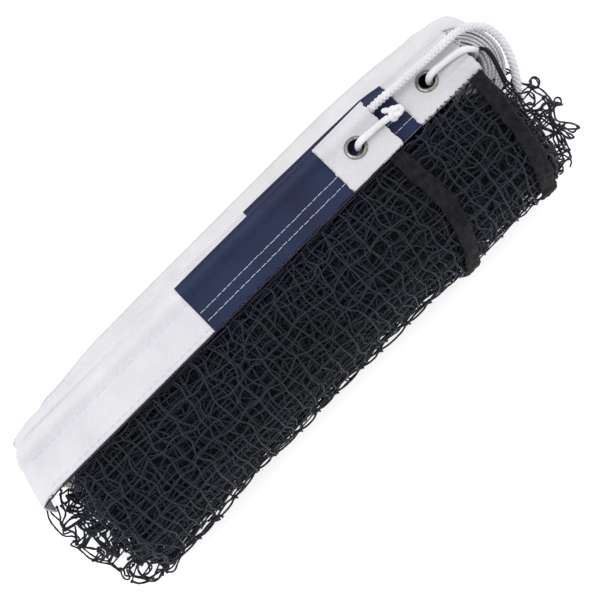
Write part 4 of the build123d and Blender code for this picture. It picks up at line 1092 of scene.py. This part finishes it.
def end_layers(name, sign, x_at, seed):
    """The edges of the rolled layers, seen end on."""
    r = np.random.default_rng(SEED + seed)
    b = Build()
    knots = []
    for k, scale in enumerate(np.linspace(0.97, 0.16, 13)):
        p = section_ring(scale)
        n = len(p)
        f = Field(seed * 50 + k, 10, 45)
        s = np.linspace(0, 230 * scale, n)
        out = x_at - 1.4 - 4.6 * (scale > 0.8) * (scale - 0.8) * 5 + 2.6 * f(s, 0) + r.normal(0, 0.7, n)
        d = p - np.array([-28.0, 43.0])
        q = p + d / np.maximum(np.linalg.norm(d, axis=1, keepdims=True), 1e-6) * (1.7 * f(s, 40))[:, None]
        line = settle(np.column_stack([sign * out, q]))
        cut = int(r.integers(0, n))
        line = np.roll(line, cut, axis=0)
        dense = spline(line, 1.5)
        b.tubes(dense, 0.66, 6)
        for j in range(0, n, 4):
            a = line[(j + int(r.integers(0, 3))) % n]
            back = a + np.array([-sign * r.uniform(9, 16), 0, 0])
            back[1:] = np.array([-28.0, 43.0]) + (a[1:] - np.array([-28.0, 43.0])) * r.uniform(0.86, 1.04)
            mid = (a + back) / 2 + r.normal(0, 1.6, 3)
            b.tubes(settle(spline([a, mid, back], 1.6)), 0.62, 5)
            knots.append(a)
            if r.uniform() < 0.45:      # a small loop standing out
                u, w = r.normal(0, 1, 3), r.normal(0, 1, 3)
                size = r.uniform(3.0, 6.5)
                loop = [a, a + np.array([sign * size * 0.8, u[1] * 2, u[2] * 2]), a + np.array([sign * size, w[1] * 3, w[2] * 3]),
                        a + np.array([sign * size * 0.4, w[1] * 4, w[2] * 4])]
                b.tubes(settle(spline(loop, 1.0)), 0.62, 5)
    b.blobs(np.array(knots), 1.1, seed)
    return b.object(name, TWINE)


end_layers("netting_end_left", -1, 189.0, 81)
end_layers("netting_end_right", 1, 194.0, 82)


# ------------------------------------------------------------ edge twines
def twines(name, lines, radius, knots=(), knot_size=1.4, seed=1):
    b = Build()
    for p in lines:
        b.tubes(p, radius, 7)
    if len(knots):
        b.blobs(np.array(knots), knot_size, seed)
    return b.object(name, TWINE)


r = np.random.default_rng(SEED + 91)
x = np.arange(-214.0, 108.0, 5.0)
edge_line = np.column_stack([x, 18.9 + r.normal(0, 0.16, len(x)) - 1.5 * smooth(-200, -214, x), 81.1 + r.normal(0, 0.15, len(x)) - 9.0 * smooth(-200, -214, x) ** 2])
second = edge_line + np.column_stack([np.zeros(len(x)), 0.3 + 0.3 * np.sin(x * 0.2), -1.6 + 0.2 * np.cos(x * 0.17)])
upper = twines("upper_edge_twine", [spline(edge_line, 1.5), spline(second, 1.5)], 0.62)
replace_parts(upper, "upper_selvage_twine")

# the far edge: two twines that part and meet again between the knots
SIL = np.array([(-186, -70.5), (-170, -71.5), (-156, -72.0), (-130, -70.6), (-103, -67.4), (-90, -66.2), (-76, -69.9), (-63, -69.2), (-50, -67.9), (0, -67.9),
                (17, -69.2), (70, -69.2), (88, -69.9)])
at = [-186.0]
while at[-1] < 82:
    at.append(at[-1] + r.uniform(11, 30))
outer_pts, inner_pts, third, knots = [], [], [], []
for a0, a1 in zip(at, at[1:]):
    y0, y1 = np.interp(a0, SIL[:, 0], SIL[:, 1]), np.interp(a1, SIL[:, 0], SIL[:, 1])
    z = 44 + r.normal(0, 3)
    y0, y1 = y0 - 0.9, y1 - 0.9
    big = r.uniform(0.0, 1.0) ** 2 * 2.2 + 0.2
    outer_pts += [(a0, y0 + 2.0, z), (a0 + 0.3 * (a1 - a0), y0 * 0.7 + y1 * 0.3 + 1.0 - 0.2 * big, z + 1), (a0 + 0.7 * (a1 - a0), y0 * 0.3 + y1 * 0.7 + 1.0 - 0.35 * big, z - 1)]
    inner_pts += [(a0, y0 + 2.3, z + 0.8), (a0 + 0.35 * (a1 - a0), y0 + 2.6 + 1.1 * big, z + 3), (a0 + 0.7 * (a1 - a0), y1 + 2.6 + 0.7 * big, z + 2)]
    knots += [(a0, y0 + 2.1, z + 0.4)]
    stub = np.array([(a0, y0 + 2.0, z), (a0 + 0.8, y0 + 0.9, z), (a0 + 1.2 + r.normal(0, 0.5), y0 + 0.1, z + 0.4)])
    third.append(spline(stub, 0.6))
    third.append(spline([(a0, y0 + 2.2, z), (a0 - 2 + r.normal(0, 2), y0 + 6.5, z + 4), (a0 - 3 + r.normal(0, 3), y0 + 13.0, z + 12)], 1.2))
lower = twines("lower_edge_twine", [spline(outer_pts, 1.2), spline(inner_pts, 1.2), *third], 0.72, knots, 1.55, 9)
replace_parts(lower, "lower_selvage_twine")

# the bundle of twine that comes out of the hollow at the right-hand end
b = Build()
for k in range(5):
    o = r.normal(0, 0.75, (1, 3)) + r.normal(0, 0.3, (5, 3))
    p = np.array([(208.0, 31.0, 50.0), (210.3, 27.2, 62.0), (209.6, 20.5, 66.0), (206.8, 11.5, 65.0), (204.0, 1.0, 60.0)]) + o
    b.tubes(spline(p, 1.0), 0.72, 6)
b.object("twine_bundle", TWINE)


# ------------------------------------------------------------ side bindings
BINDING_1 = np.array([(111.0, 14.5), (110.5, -5.0), (112.0, -26.0), (106.0, -50.0), (96.3, -68.7), (93.0, -76.0),
                      (106.0, -76.0), (109.5, -68.7), (118.0, -50.0), (123.0, -26.0), (122.5, -5.0), (121.5, 14.5)])
BINDING_2 = np.array([(184.6, 10.5), (181.5, -9.0), (178.8, -28.6), (175.0, -48.0), (171.5, -59.0), (168.0, -76.0),
                      (181.0, -76.0), (184.5, -60.0), (187.5, -43.0), (190.5, -19.0), (195.0, 10.5)])


def binding(name, node, left, right, seed, flat):
    big, fine = Field(seed, 16, 50), Field(seed + 1, 5, 12)
    ok = ROLL.p[:, 1] > 26
    a_of = ROLL.s[:np.nonzero(~ok)[0][0]]
    y_of = ROLL.p[:len(a_of), 0] + 0.0
    a0 = float(np.interp(-left[0][1], -y_of, a_of))
    a = np.arange(0.0, a_of[-1], 1.4)
    turn = float(np.interp(66.0, -y_of[y_of > -69], a_of[y_of > -69]))

    def edge(pts):
        pts = np.array(pts)
        pa = np.interp(-pts[:, 1], -y_of, a_of)
        pa[pts[:, 1] < -66] = turn + (pa[-1] - turn) * (np.clip(-pts[pts[:, 1] < -66, 1] - 66, 0, 10) / 10)
        pa = np.maximum.accumulate(pa + np.arange(len(pa)) * 1e-3)
        return np.interp(a, pa, pts[:, 0])
    xl, xr = edge(left), edge(right)
    xl, xr = (np.convolve(np.pad(q, 6, mode="edge"), np.hanning(13) / np.hanning(13).sum(), "valid") for q in (xl, xr))
    u = np.linspace(0, 1, 15)
    aa, uu = np.meshgrid(a, u, indexing="ij")
    xx = xl[:, None] * (1 - uu) + xr[:, None] * uu + 0.7 * fine(aa * 0.5, 0) + 0.5 * fine(aa * 0.9, 60.0) * (2 * uu - 1)
    hem = 0.35 * (np.exp(-((uu - 0.08) / 0.06) ** 2) + np.exp(-((uu - 0.92) / 0.06) ** 2))
    crease = 0.45 * np.abs(np.sin(uu * 9.0 + 1.6 * big(aa, 5.0))) * (0.5 + 0.5 * fine(aa * 0.6, 20.0))
    lift = 2.3 + 1.2 * big(aa, xx * 0.8) + 0.75 * fine(aa * 0.9, xx * 1.2) + crease + hem - 1.6 * (np.abs(uu - 0.5) * 2) ** 6
    outer, inner = ROLL.at(xx, aa, lift + 0.75), ROLL.at(xx, aa, lift - 0.05)
    b = Build()
    b.shell(outer, inner, np.stack([aa, uu * 12.0], -1))
    o = b.object(name, BINDING, fix_normals=True)
    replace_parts(o, node)
    return o


binding("side_strip_1", "side_binding_1", BINDING_1[:6], BINDING_1[6:][::-1], 95, 0.1)
binding("side_strip_2", "side_binding_2", BINDING_2[:6], BINDING_2[6:][::-1], 97, 0.1)
